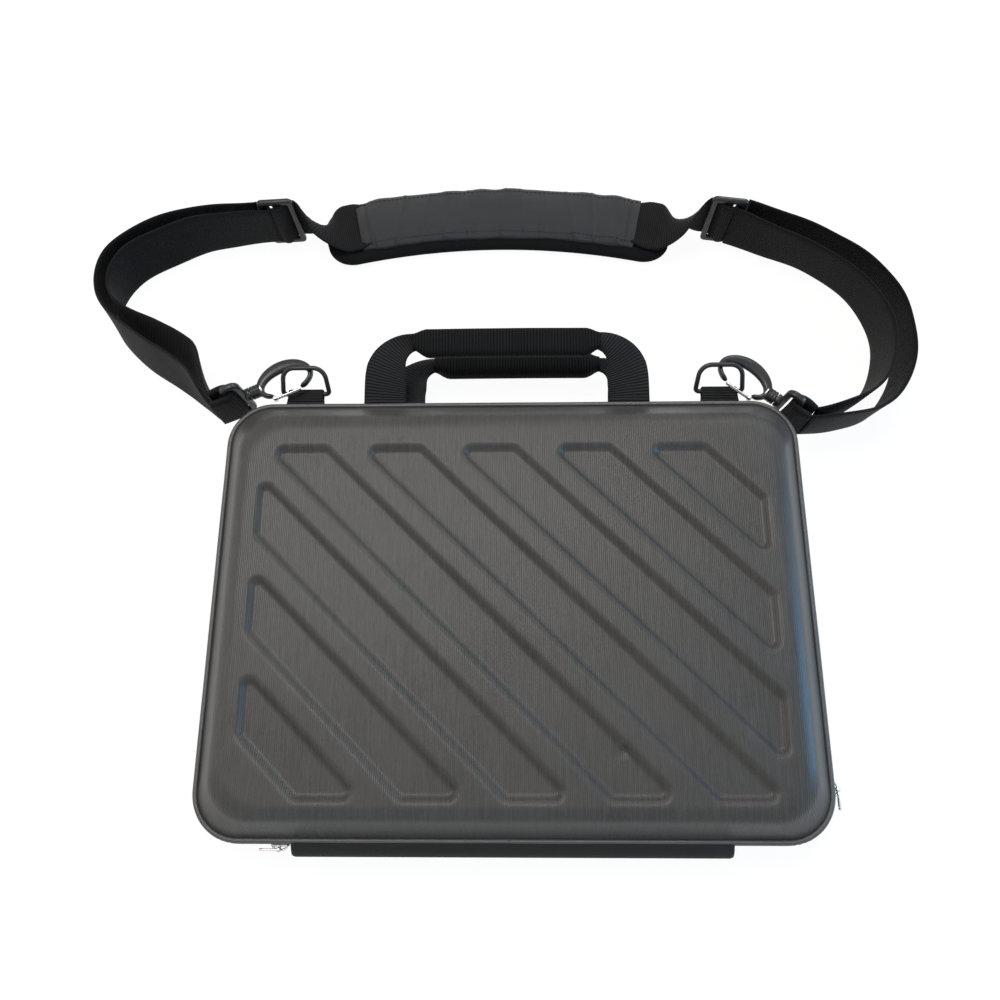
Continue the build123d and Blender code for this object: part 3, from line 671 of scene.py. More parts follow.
# ---------------------------------------------------------------- camera, floor and light
def camera():
    """Camera above the case, tipped towards the hinge."""
    data = bpy.data.cameras.new("camera")
    data.lens = 30.6
    data.sensor_width = 36.0
    eye = show("camera", data)
    right = Vector((0.99975, 0.00172, -0.02219))
    up = Vector((0.00481, 0.95676, 0.29083))
    back = Vector((0.02173, -0.29087, 0.95652))
    turn = Matrix((right, up, back)).transposed().to_4x4()
    eye.matrix_world = Matrix.Translation(Vector((4.637, -84.156, 527.231)) * MM) @ turn
    bpy.context.scene.camera = eye


def softbox(name, place, aim, size, power, tint):
    """Rectangular lamp at a place in metres, aimed at a point."""
    data = bpy.data.lights.new(name, "AREA")
    data.shape = "RECTANGLE"
    data.size, data.size_y = size
    data.energy = power
    data.color = tint
    lamp = show(name, data)
    lamp.location = place
    lamp.rotation_mode = "QUATERNION"
    lamp.rotation_quaternion = (Vector(aim) - Vector(place)).to_track_quat("-Z", "Y")


def white_floor():
    """Pale floor that keeps the case's soft shadow."""
    f = Finish("pale floor")
    f.shader.inputs["Base Color"].default_value = (0.62, 0.61, 0.60, 1.0)
    f.shader.inputs["Roughness"].default_value = 0.9
    f.shader.inputs["Specular IOR Level"].default_value = 0.1
    glow = f.node("ShaderNodeEmission")
    glow.inputs["Color"].default_value = (1.0, 1.0, 1.0, 1.0)
    glow.inputs["Strength"].default_value = 1.06
    path = f.node("ShaderNodeLightPath")
    seen = f.value(path, "Is Camera Ray") + f.value(path, "Is Glossy Ray")
    seen = seen + f.value(path, "Is Transmission Ray")
    blend = f.node("ShaderNodeMixShader", None, seen * 0.9)
    f.tree.links.new(f.shader.outputs[0], blend.inputs[1])
    f.tree.links.new(glow.outputs[0], blend.inputs[2])
    f.tree.links.new(blend.outputs[0], f.output.inputs[0])
    reach = 6000.0
    corners = [(-reach, -reach, -0.3), (reach, -reach, -0.3), (reach, reach, -0.3), (-reach, reach, -0.3)]
    piece("floor", corners, [(0, 1, 2, 3)], f.material)


def surroundings():
    """Soft grey light, which the camera, gloss and glass see as white."""
    world = bpy.data.worlds.new("studio")
    world.use_nodes = True
    tree = world.node_tree
    tree.nodes.clear()
    soft = tree.nodes.new("ShaderNodeBackground")
    soft.inputs["Color"].default_value = (0.86, 0.93, 1.0, 1.0)
    soft.inputs["Strength"].default_value = 0.36
    white = tree.nodes.new("ShaderNodeBackground")
    white.inputs["Color"].default_value = (1.0, 1.0, 1.0, 1.0)
    white.inputs["Strength"].default_value = 1.0
    path = tree.nodes.new("ShaderNodeLightPath")
    mirrored, seen = tree.nodes.new("ShaderNodeMath"), tree.nodes.new("ShaderNodeMath")
    mirrored.operation = seen.operation = "MAXIMUM"
    mix = tree.nodes.new("ShaderNodeMixShader")
    out = tree.nodes.new("ShaderNodeOutputWorld")
    tree.links.new(path.outputs["Is Glossy Ray"], mirrored.inputs[0])
    tree.links.new(path.outputs["Is Transmission Ray"], mirrored.inputs[1])
    tree.links.new(path.outputs["Is Camera Ray"], seen.inputs[0])
    tree.links.new(mirrored.outputs[0], seen.inputs[1])
    tree.links.new(seen.outputs[0], mix.inputs[0])
    tree.links.new(soft.outputs[0], mix.inputs[1])
    tree.links.new(white.outputs[0], mix.inputs[2])
    tree.links.new(mix.outputs[0], out.inputs[0])
    bpy.context.scene.world = world
    bpy.context.scene.view_settings.view_transform = "Standard"


camera()
white_floor()
surroundings()
softbox("overhead light", (-0.30, 0.46, 1.55), (0, 0, 0), (0.55, 0.45), 15.2, (1.0, 0.955, 0.90))
softbox("window light", (0.55, 1.15, 1.0), (0, 0, 0), (0.45, 0.35), 5.5, (1.0, 0.97, 0.92))
softbox("left light", (-1.35, 0.1, 0.62), (0, 0, 0.02), (0.5, 1.0), 3.2, (1.0, 0.95, 0.9))
softbox("right light", (1.45, 0.0, 0.34), (0, 0, 0.03), (0.4, 1.2), 17.0, (0.17, 0.55, 1.0))
softbox("near fill", (-0.3, -1.4, 0.9), (0, 0, 0), (1.2, 0.5), 1.6, (0.5, 0.75, 1.0))

# ---------------------------------------------------------------- shoulder strap
STRAP_WIDTH = 38.0
STRAP_THICKNESS = 1.8
EYE_WIDTH = 30.0             # the webbing is gathered to this in a hook's eye
HOOK_HEIGHT = 30.0
HOOK_PITCH = math.radians(4.0)
HOOKS = {"left": (np.array([-166.0, 139.0]), math.radians(22.0)),
         "right": (np.array([166.6, 132.7]), math.radians(143.0))}
ADJUSTERS = {"left": (np.array([-158.0, 271.5]), math.radians(3.0)),
             "right": (np.array([146.0, 268.5]), math.radians(-8.0))}
ADJUSTER_HEIGHT = node_box("adjuster_left")[1][2]
STEP = 3.0                   # between the rings of a ribbon
EYE_SHARE = 5.0              # webbing of each run that is folded in the hook's eye

# The two runs of each loop, from the hook's eye to the slide, in plan, in metres.
LEFT_OUTER = [(-0.1876, 0.1268), (-0.213, 0.146), (-0.246, 0.167), (-0.269, 0.188), (-0.279, 0.213),
              (-0.274, 0.238), (-0.258, 0.256), (-0.234, 0.268), (-0.206, 0.2735), (-0.171, 0.2745)]
LEFT_RETURN = [(-0.1898, 0.1339), (-0.211, 0.151), (-0.238, 0.170), (-0.258, 0.190), (-0.267, 0.212),
               (-0.263, 0.233), (-0.249, 0.248), (-0.228, 0.260), (-0.203, 0.266), (-0.162, 0.2682)]
RIGHT_OUTER = [(0.1837, 0.1164), (0.211, 0.118), (0.235, 0.128), (0.251, 0.148), (0.258, 0.175),
               (0.256, 0.202), (0.244, 0.225), (0.224, 0.243), (0.195, 0.258), (0.1585, 0.2695)]
RIGHT_RETURN = [(0.1878, 0.1215), (0.209, 0.127), (0.228, 0.138), (0.240, 0.155), (0.245, 0.177),
                (0.242, 0.199), (0.231, 0.218), (0.212, 0.235), (0.186, 0.248), (0.1493, 0.2642)]
AT_EYE = 27.0                # height of the webbing's middle at the eye, where it rests, and at the slide
AT_REST = STRAP_WIDTH / 2
AT_SLIDE = 23.3
TIP_LENGTH = 36.0            # from the eye until the webbing leans fully
TIP_FADE = (0.28, 0.62)      # shares of the run between which it stands up again
TURN_SHARE, TURN_SPREAD = 0.43, 0.15
GATHER_LENGTH = 26.0         # from the eye until the webbing has its full width
EYE_BOW, BOW_LENGTH = 1.6, 30.0


def run_heights(count):
    """Heights of a run's control points: down from the hook, at rest on its edge and up to the slide."""
    share = np.arange(count) / (count - 1)
    down = AT_EYE + (AT_REST - AT_EYE) * smooth_step(share, 0.0, 0.3)
    return down + (AT_SLIDE - AT_REST) * smooth_step(share, 0.72, 1.0)


def strap_run(name, route, replaced, tip, sway, hug):
    """One run of webbing on its edge. Next to the hook it leans by tip and stands off its route by sway.
    Where the loop turns, it lies towards the other run by hug."""
    plan = np.array(route) / MM
    points = np.column_stack([plan, run_heights(len(plan))])
    path = curve_through(points, STEP)
    s = lengths(path)
    share = s / s[-1]
    lean = 0.06 * np.sin(share * math.pi * 2.0) + 0.05 * np.sin(s / 31.0)
    tipped = smooth_step(s, 0.0, TIP_LENGTH) * (1 - smooth_step(share, *TIP_FADE))
    lean = lean + tip * tipped
    along = tangents(path)
    sideways = unit(np.cross(along, (0, 0, 1.0)))
    across = unit(np.array([0, 0, 1.0]) + sideways * lean[:, None])
    closer = np.exp(-((share - TURN_SHARE) / TURN_SPREAD) ** 2)
    path = path + sideways * (sway * tipped - hug * closer)[:, None]
    width = STRAP_WIDTH - (STRAP_WIDTH - EYE_WIDTH) * (1 - smooth_step(s, 0.0, GATHER_LENGTH))
    run = ribbon(name, path, across, width, STRAP_THICKNESS, STRAP_WEBBING,
                 bow=EYE_BOW * (1 - smooth_step(s, 0.0, BOW_LENGTH)), wave=0.5)
    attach(run, "base")
    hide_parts(replaced)
    return run, path


def declare_run(run, path):
    """Work out a run's start, its length with its share of the fold in the hook's eye, and its points, and
    keep none of them.
    """
    tuple(path[0] * MM)
    float(lengths(path)[-1] + EYE_SHARE) * MM
    [tuple(p) for p in path * MM]


def hook_axes(side):
    """The hook's own frame: x from the swivel to the tip, turned over on the right side."""
    place, turn = HOOKS[side]
    x = Vector((math.cos(HOOK_PITCH) * math.cos(turn), math.cos(HOOK_PITCH) * math.sin(turn),
                math.sin(HOOK_PITCH)))
    y = Vector((-math.sin(turn), math.cos(turn), 0))
    z = x.cross(y)
    if side == "right":
        y, z = -y, -z
    frame_of = Matrix((x, y, z)).transposed().to_4x4()
    return Matrix.Translation(Vector((place[0], place[1], HOOK_HEIGHT))) @ frame_of


def spot(frame_of, x, y):
    """Point in a hook's own plane."""
    return np.array(frame_of @ Vector((x, y, 0.0)))


EYE_BAR_X = -12.9            # middle of the eye's webbing bar, in the hook's frame
EYE_BAR = 4.0
BAR_GAP = 0.3
BEFORE_BAR = 5.0             # where the webbing's two halves meet the bend round the bar
GATHERED = 3.8               # thickness of the webbing where it is drawn together


def gathered_end(side, outer, inner):
    """Webbing that goes round the eye's bar, gathered narrow, between the ends of the two runs."""
    frame_of = hook_axes(side)
    sign = 1 if side == "left" else -1
    reach = EYE_BAR / 2 + BAR_GAP + GATHERED / 2
    turn = np.linspace(-math.pi / 2, math.pi / 2, 9)
    bend = [spot(frame_of, EYE_BAR_X + reach * math.cos(a), reach * math.sin(a)) for a in turn]
    first = spot(frame_of, EYE_BAR_X - BEFORE_BAR, -reach)
    last = spot(frame_of, EYE_BAR_X - BEFORE_BAR, reach)
    if np.linalg.norm(outer[0] - first) > np.linalg.norm(outer[0] - last):
        bend, first, last = bend[::-1], last, first
    path = np.array([outer[0], (outer[0] + first) / 2, first] + bend
                    + [last, (last + inner[0]) / 2, inner[0]])
    path = resample(path, 1.2)
    for _ in range(6):
        path[1:-1] = (path[:-2] + path[1:-1] * 2 + path[2:]) / 4
    s = lengths(path)
    middle = np.minimum(s, s[-1] - s)
    across = np.tile(np.array(frame_of.to_3x3() @ Vector((0, 0, sign))), (len(path), 1))
    blend = smooth_step(middle, 0, 8)[:, None]
    across = unit(across * blend + np.array([0, 0, 1.0]) * (1 - blend))
    end = ribbon(f"strap_end_{side}_fold", path, across, EYE_WIDTH, GATHERED, STRAP_WEBBING, bow=0.5)
    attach(end, "base")
    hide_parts(f"strap_end_{side}")
    return end


def loop(side, outer_route, return_route, tip=0.0, sway=0.0, hug=0.0):
    """Both runs and the fold in the hook's eye. The outer run leans and sways less than the return run."""
    outer, outer_path = strap_run(f"strap_{side}_outer_web", outer_route, f"strap_{side}_outer",
                                  tip * 0.4, sway * 0.5, 0.0)
    inner, inner_path = strap_run(f"strap_{side}_return_web", return_route, f"strap_{side}_return",
                                  tip, sway, hug)
    end = gathered_end(side, outer_path, inner_path)
    declare_run(outer, outer_path)
    declare_run(inner, inner_path)


loop("left", LEFT_OUTER, LEFT_RETURN, 0.42, 13.0, 9.5)
loop("right", RIGHT_OUTER, RIGHT_RETURN)

PAD_MIDDLE = np.array([-9.0, 283.0])
PAD_RADIUS = 480.0
PAD_LENGTH = 246.0
PAD_WIDTH = 46.0
PAD_HEIGHT = 11.0
PAD_RUN = 243.0
SLEEVE_LENGTH = 196.0
SLEEVE_WIDTH = 40.0
SLEEVE_SHIFT = 2.0           # the sleeve and the webbing in it lie towards the pad's far edge
SLEEVE_RISE = 3.6
PAD_END = 20.0               # length of the pad's rounded ends
PAD_CORNER = 19.0
TWIST_LENGTH = 37.0          # in which the webbing turns from flat to upright
END_SEAM, EDGE_SEAM = 6.5, 4.0   # from the sleeve's ends and edges to its stitches
SLEEVE_POWER = 3.4           # squareness of the sleeve's section
CREASES, CREASE_PITCH, CREASE_WIDTH = 11, 17.3, 1.3


def pad_point(s, t, z):
    """Point s along the pad's middle line and t towards its outer side."""
    angle = np.asarray(s, float) / PAD_RADIUS
    reach = PAD_RADIUS + np.asarray(t, float)
    x = PAD_MIDDLE[0] + reach * np.sin(angle)
    y = PAD_MIDDLE[1] - PAD_RADIUS + reach * np.cos(angle)
    return np.stack(np.broadcast_arrays(x, y, np.asarray(z, float)), axis=-1)


def at_slide(side, u, v):
    """Point in a slide's plan: u towards the pad, v towards the far side."""
    place, turn = ADJUSTERS[side]
    sign = 1 if side == "left" else -1
    x = place[0] + sign * u * math.cos(turn) - v * math.sin(turn)
    y = place[1] + sign * u * math.sin(turn) + v * math.cos(turn)
    return np.array([x, y, AT_SLIDE])


# The webbing's way through a slide: behind the first bar, over the middle one and behind the last.
WEAVE = [(-13.5, 2.8), (-10.0, 2.7), (-7.4, 2.5), (-5.0, -0.6), (-2.6, -4.1), (0.0, -4.5),
         (2.6, -4.1), (5.0, -0.6), (7.4, 2.5), (10.0, 2.7), (13.0, 2.6)]
WEAVE_LENGTH = 30.0
# Round the middle bar, where the return run is sewn.
RETURN_LOOP = [(-5.0, -3.3), (-2.4, -2.6), (0.0, -2.6), (2.7, -2.4), (3.4, 0.0), (2.7, 2.4), (0.0, 2.6),
               (-3.2, 2.3)]


def pad_webbing():
    """Webbing through one slide, turning flat, through the pad and up on edge again to the other slide."""
    height = PAD_HEIGHT + STRAP_THICKNESS / 2
    half = PAD_RUN / 2
    stations = (-half, -half + 18, -half + 36, -44, 0, 44, half - 36, half - 18, half)
    inside = [pad_point(s, SLEEVE_SHIFT, height) for s in stations]
    left = [at_slide("left", u, v) for u, v in WEAVE]
    right = [at_slide("right", u, v) for u, v in WEAVE[::-1]]
    rise_left = inside[0] * 0.45 + left[-1] * 0.55
    rise_right = inside[-1] * 0.45 + right[0] * 0.55
    path = curve_through(left + [rise_left] + inside + [rise_right] + right, 2.0)
    s = lengths(path)
    ends = np.minimum(s, s[-1] - s) - WEAVE_LENGTH
    upright = 1 - smooth_step(ends, 0.0, TWIST_LENGTH)
    along = tangents(path)
    flat = unit(np.cross((0, 0, 1.0), along))
    angle = upright * math.pi / 2
    across = flat * np.cos(angle)[:, None] - np.array([0, 0, 1.0]) * np.sin(angle)[:, None]
    turning = upright * (1 - upright) * 4
    width = STRAP_WIDTH - 6.0 * turning - 5.0 * smooth_step(ends, 42.0, 52.0)
    run = ribbon("strap_pad_web", path, across, width, STRAP_THICKNESS, STRAP_WEBBING, bow=2.2 * turning)
    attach(run, "base")
    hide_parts("strap_pad_run", "strap_twist_left", "strap_twist_right")
    return run, path


def sewn_loop(side):
    """End of the return run, round the slide's middle bar."""
    path = curve_through([at_slide(side, u, v) for u, v in RETURN_LOOP], 0.8)
    bend = ribbon(f"strap_{side}_slide_loop", path, (0, 0, 1.0), STRAP_WIDTH - 0.6, STRAP_THICKNESS - 0.2,
                  STRAP_WEBBING)
    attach(bend, "base")


sewn_loop("left")
sewn_loop("right")
middle_run, middle_path = pad_webbing()
declare_run(middle_run, middle_path)


# ---------------------------------------------------------------- shoulder pad
def pad_half_width(s, half_length, half_width, corner):
    """Half the width of a strip with rounded corners."""
    over = np.clip(np.abs(s) - (half_length - corner), 0, corner)
    return half_width - corner + np.sqrt(np.maximum(corner * corner - over * over, 0))


def crowned_strip(name, stations, half_width, low, top, finish, ripple, around, power, shift=0.0):
    """Padded strip along the pad's middle line, crowned above and flat below."""
    rings, cloth = [], []
    turn = np.linspace(0, 2 * math.pi, around, endpoint=False)
    for s, w in zip(stations, half_width):
        c, d = np.cos(turn), np.sin(turn)
        a, b = squared(c, 2 / power), squared(d, 2 / power)
        t = a * w
        bottom, crest = low(s, a), top(s, a)
        z = (bottom + crest) / 2 + b * (crest - bottom) / 2 + ripple(s, a) * np.clip(b, 0, 1)
        rings.append(pad_point(s, t + shift, z))
        cloth.append(np.stack([t + np.where(b < 0, 3 * w, 0), np.full(around, s)], axis=-1))
    return loft(name, rings, finish, cloth)


def shoulder_pad():
    """Felted foam pad with rounded ends."""
    half = PAD_LENGTH / 2
    inner = np.linspace(-half + PAD_END, half - PAD_END, 90)
    ends = PAD_END * (1 - np.cos(np.linspace(0, math.pi / 2, 12)))
    stations = np.concatenate([-half + 0.4 + ends * 0.98, inner[1:-1], (half - 0.4 - ends * 0.98)[::-1]])
    width = pad_half_width(stations, half, PAD_WIDTH / 2, PAD_CORNER)

    def low(_, a):
        return np.zeros_like(a)

    def top(s, a):
        end = smooth_step(half - abs(s), 0, 14)
        return PAD_HEIGHT * (0.62 + 0.38 * end) - 1.6 * np.abs(a) ** 3 * end

    def ripple(s, a):
        return 0.35 * np.sin(s / 11.0) * np.sin(s / 4.3 + a * 1.5) * a * a
    pad = crowned_strip("shoulder_pad_felt", stations, width, low, top, PAD_FELT, ripple, 26, 3.2)
    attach(pad, "base")
    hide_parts("shoulder_pad")


def pad_sleeve():
    """Nylon sleeve over the webbing, puckered where the stitching draws it in."""
    half = SLEEVE_LENGTH / 2
    stations = np.linspace(-half, half, 170)
    rng = np.random.default_rng(7)
    phases = rng.uniform(0, 2 * math.pi, 6)
    pulls = rng.uniform(0.6, 1.2, 6)
    waves = (5.2, 7.1, 3.7, 11.0, 16.0, 2.9)
    drift = sum(p * np.sin(stations / w + ph) for p, w, ph in zip(pulls, waves, phases))
    creases = [(-half + 12 + CREASE_PITCH * i + rng.uniform(-4, 4), rng.uniform(-5, 5), rng.uniform(0.9, 1.8))
               for i in range(CREASES)]      # place, slant and rise
    width = SLEEVE_WIDTH / 2 - 0.7 * smooth_step(np.abs(stations), half - 16, half) + 0.16 * drift

    def low(_, a):
        return np.full_like(a, PAD_HEIGHT - 2.6) - 1.8 * np.abs(a) ** 4

    def top(s, a):
        hem = 1 - smooth_step(half - abs(s), 0.0, 5.0)
        channel = math.exp(-((half - abs(s) - END_SEAM) / 1.6) ** 2)
        crest = PAD_HEIGHT + SLEEVE_RISE + 0.6 - 2.4 * np.abs(a) ** 2.6
        return crest - 0.7 * hem - 0.5 * channel

    def ripple(s, a):
        edge = np.abs(a) ** 2
        pull = np.interp(s, stations, drift)
        folds = 0.40 * pull * edge + 0.5 * math.sin(s / 6.3 + 1.1) * edge + 0.4 * np.sin(s / 17.0 + 2.2 * a)
        for place, slant, rise in creases:
            crease = np.exp(-((s - place - slant * a) / CREASE_WIDTH) ** 2)
            folds = folds + rise * crease * (0.35 + 0.65 * edge)
        return np.maximum(folds, -0.3)
    sleeve = crowned_strip("pad_sleeve_nylon", stations.tolist(), width, low, top, SLEEVE, ripple, 44,
                           SLEEVE_POWER, SLEEVE_SHIFT)
    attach(sleeve, "base")
    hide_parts("pad_sleeve")

    def on_top(s, t):
        """Point on the sleeve's upper side, s along it and t across."""
        a = t / np.interp(s, stations, width)
        b = (1 - abs(a) ** SLEEVE_POWER) ** (1 / SLEEVE_POWER)
        bottom, crest = low(s, a), top(s, a)
        z = (bottom + crest) / 2 + b * ((crest - bottom) / 2 + ripple(s, a)) + 0.1
        return tuple(pad_point(s, t + SLEEVE_SHIFT, z))

    lines = []
    seam = SLEEVE_WIDTH / 2 - EDGE_SEAM
    for side in (-1, 1):
        lines.append([on_top(s, side * seam) for s in np.linspace(-half + 3, half - 3, 150)])
        lines.append([on_top(side * (half - END_SEAM), t) for t in np.linspace(-seam, seam, 40)])
    seams = beads("pad_stitches", lines, 3.0, (0.5, 0.6, 2.3), THREAD, wander=0.05)
    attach(seams, "base")


shoulder_pad()
pad_sleeve()


# ---------------------------------------------------------------- moulded shells
MOUTH_X = HALF_X - BINDING - LIP_STEP
MOUTH_Y = HALF_Y - BINDING - LIP_STEP
RISE = SHELL_DEPTH - LIP_HEIGHT
HIP = CORNER - BINDING - LIP_STEP
SLOPE_RUN = FACE_INSET - BINDING - LIP_STEP      # from the mouth to the face's virtual edge, in plan
DENT = (60.0, -80.0)         # small dent in the lid's face
DENT_DEPTH, DENT_REACH = 1.2, 1.8


def face_share(x, y):
    """0 on the shell's mouth, 1 on the face's virtual edge, more inside it."""
    low, high = np.full(x.shape, -0.5), np.full(x.shape, 7.0)
    for _ in range(24):
        t = (low + high) / 2
        half_x = MOUTH_X - SLOPE_RUN * t
        near = -MOUTH_Y + (SLOPE_RUN - FACE_SHIFT) * t
        far = MOUTH_Y - (SLOPE_RUN + FACE_SHIFT) * t
        middle, half_y = (near + far) / 2, (far - near) / 2
        radius = np.minimum(HIP, np.minimum(half_x, half_y))
        over_x, over_y = np.abs(x) - half_x + radius, np.abs(y - middle) - half_y + radius
        gap = np.hypot(np.maximum(over_x, 0), np.maximum(over_y, 0)) - radius
        gap = gap + np.minimum(np.maximum(over_x, over_y), 0)
        low, high = np.where(gap < 0, t, low), np.where(gap < 0, high, t)
    return (low + high) / 2


def dish_height(share):
    """Rise of the shell from its mouth to its face, with the rounded edge between."""
    run = SLOPE_RUN * share
    slope = math.atan2(RISE, SLOPE_RUN)
    tangent = FACE_EDGE * math.tan(slope / 2)
    start = SLOPE_RUN - tangent * math.cos(slope)
    end = SLOPE_RUN + tangent
    arc = RISE - FACE_EDGE + np.sqrt(np.maximum(FACE_EDGE ** 2 - (end - run) ** 2, 0))
    return np.where(run < start, run * math.tan(slope), np.where(run < end, arc, RISE))


def clipped(polygon, normal, limit):
    """The part of a convex polygon where point . normal <= limit."""
    kept = []
    for a, b in zip(polygon, polygon[1:] + polygon[:1]):
        da, db = np.dot(a, normal) - limit, np.dot(b, normal) - limit
        if da <= 0:
            kept.append(a)
        if da * db < 0:
            kept.append(a + (b - a) * da / (da - db))
    return kept


def panel_distance(x, y, phase):
    """Distance outside the nearest panel floor, less than zero on a floor."""
    nearest = np.full(x.shape, 1e3)
    low, high = FIELD_LOW + PANEL_CORNER, FIELD_HIGH - PANEL_CORNER
    diagonal = np.array([1.0, 1.0]) / math.sqrt(2)
    for k in range(FIRST_PANEL, LAST_PANEL + 1):
        middle = (phase + k * PITCH) / math.sqrt(2)
        half = OPEN / 2 / math.sqrt(2) - PANEL_CORNER
        floor = [np.array([x_side, y_side]) for x_side, y_side in
                 ((low[0], low[1]), (high[0], low[1]), (high[0], high[1]), (low[0], high[1]))]
        floor = clipped(floor, diagonal, middle + half)
        floor = clipped(floor, -diagonal, half - middle)
        outside = np.full(x.shape, 1e3)
        inside = np.full(x.shape, -1e3)
        for a, b in zip(floor, floor[1:] + floor[:1]):
            e = b - a
            px, py = x - a[0], y - a[1]
            share = np.clip((px * e[0] + py * e[1]) / e.dot(e), 0, 1)
            outside = np.minimum(outside, np.hypot(px - e[0] * share, py - e[1] * share))
            inside = np.maximum(inside, (px * e[1] - py * e[0]) / np.linalg.norm(e))
        nearest = np.minimum(nearest, np.where(inside < 0, inside, outside) - PANEL_CORNER)
    return nearest


def soft_max(a, b, reach):
    """The larger of two, rounded over where they meet."""
    return np.maximum(a, b) + np.maximum(reach - np.abs(a - b), 0) ** 2 / (4 * reach)


def sink(distance):
    """Depth below the face at a distance outside a floor."""
    slope = soft_max(SINK - distance, 0.0, SHOULDER_SOFT)
    depth = -soft_max(-slope, -SINK, CREASE_SOFT)
    return np.where(distance > SINK + SHOULDER_SOFT, 0.0, depth)


def grid_faces(shape):
    """Faces of a grid of points, and the points round its edge in order."""
    index = np.arange(shape[0] * shape[1]).reshape(shape)
    quads = np.stack([index[:-1, :-1], index[1:, :-1], index[1:, 1:], index[:-1, 1:]], axis=-1)
    rim = np.concatenate([index[:-1, 0], index[-1, :-1], index[:0:-1, -1], index[0, :0:-1]])
    return quads.reshape(-1, 4), rim


def shell(name, node, body, phase, over):
    """One shell's skin: the ribbed face with its panels, the lip and the inner wall.
    over turns the shell drawn as the lid into its own place."""
    count_x, count_y = int(2 * MOUTH_X / GRID), int(2 * MOUTH_Y / GRID)
    gx, gy = np.meshgrid(np.linspace(-MOUTH_X, MOUTH_X, count_x + 1),
                         np.linspace(-MOUTH_Y, MOUTH_Y, count_y + 1), indexing="ij")
    a = np.clip((np.abs(gx) - (MOUTH_X - HIP)) / HIP, 0, 1)
    b = np.clip((np.abs(gy) - (MOUTH_Y - HIP)) / HIP, 0, 1)
    x = np.where(a * b > 0, np.sign(gx) * (MOUTH_X - HIP + HIP * a * np.sqrt(1 - b * b / 2)), gx)
    y = np.where(a * b > 0, np.sign(gy) * (MOUTH_Y - HIP + HIP * b * np.sqrt(1 - a * a / 2)), gy)
    share = face_share(x, y)
    z = LIP_HEIGHT + dish_height(share)
    z -= sink(panel_distance(x, y, phase))
    z += 0.25 * np.sin(x / 37.0 + 0.6) * np.sin(y / 29.0) * smooth_step(share, 0.3, 1.5)
    if node == "lid_shell":
        z -= DENT_DEPTH * np.exp(-((x - DENT[0]) ** 2 + (y - DENT[1]) ** 2) / (2 * DENT_REACH ** 2))
    points = [np.stack([x, y, z], axis=-1).reshape(-1, 3)]
    quads, rim = grid_faces(gx.shape)
    faces = quads.tolist()
    edge = points[0][rim][:, :2]
    ahead = np.roll(edge, -1, axis=0) - np.roll(edge, 1, axis=0)
    outwards = unit(np.stack([ahead[:, 1], -ahead[:, 0]], axis=-1))
    steps = [(LIP_STEP * 0.8, LIP_HEIGHT - 0.4), (LIP_STEP, LIP_HEIGHT - 1.2), (LIP_STEP, 0.0), (-WALL, 0.0),
             (-WALL, LIP_HEIGHT), (-WALL - SLOPE_RUN * 0.6, LIP_HEIGHT + RISE * 0.45),
             (-WALL - SLOPE_RUN - 2.0, SHELL_DEPTH - FACE_THICKNESS)]
    previous, start = rim, gx.size
    for reach, height in steps:
        ring = np.column_stack([edge + outwards * reach, np.full(len(edge), height)])
        points.append(ring)
        here = np.arange(start, start + len(edge))
        start += len(edge)
        faces += np.stack([previous, here, np.roll(here, -1), np.roll(previous, -1)], axis=-1).tolist()
        previous = here
    faces.append(previous[::-1].tolist())
    points = over(np.concatenate(points))
    skin = outward(piece(name, points, faces, SHELL))
    keep_edges(skin, 70.0)
    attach(skin, body)
    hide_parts(node)
    return skin


def as_lid(points):
    """From the shell's own heights to the lid's place."""
    return points + np.array([0, 0, LID_LIP])


def as_base(points):
    """From the shell's own heights to the base's place, turned over about the case's long middle line."""
    return points * np.array([-1, 1, -1]) + np.array([0, 0, BASE_LIP])


shell("lid_shell_skin", "lid_shell", "lid", LID_PHASE, as_lid)
shell("base_shell_skin", "base_shell", "base", BASE_PHASE, as_base)


# ---------------------------------------------------------------- bindings and zip
OUTLINE_STEP = 2.0


def outline(gap):
    """Points round the case's plan from the hinge side's right, and the way out at each.
    It stays open for gap, to both sides of that side's middle."""
    corners = [(HALF_X - CORNER, -HALF_Y + CORNER, -90), (HALF_X - CORNER, HALF_Y - CORNER, 0),
               (-HALF_X + CORNER, HALF_Y - CORNER, 90), (-HALF_X + CORNER, -HALF_Y + CORNER, 180)]
    points, ways = [np.array([gap, -HALF_Y])], [np.array([0.0, -1.0])]
    for x, y, start in corners:
        for angle in np.radians(np.linspace(start, start + 90, 25)):
            way = np.array([math.cos(angle), math.sin(angle)])
            points.append(np.array([x, y]) + way * CORNER)
            ways.append(way)
    points.append(np.array([-gap, -HALF_Y]))
    ways.append(np.array([0.0, -1.0]))
    both = np.column_stack([points, ways])
    s = lengths(both[:, :2])
    even = np.linspace(0, s[-1], int(s[-1] / OUTLINE_STEP) + 1)
    both = np.stack([np.interp(even, s, both[:, i]) for i in range(4)], axis=1)
    if gap == 0:
        both = both[:-1]
    return both[:, :2], unit(both[:, 2:])


ZIP_LEAN, END_LEAN = 2.3, 1.2


def lean(points):
    """How far the open zip leans out of the case's side, most by the right slider."""
    x, y = points[:, 0], points[:, 1]
    side = smooth_step(x, 135.0, 168.0)
    along = np.clip((99.0 - y) / 200.0, 0, 1) * smooth_step(y, -128.5, -112.0)
    return side * (ZIP_LEAN * along + END_LEAN * smooth_step(-y, 112, 124))


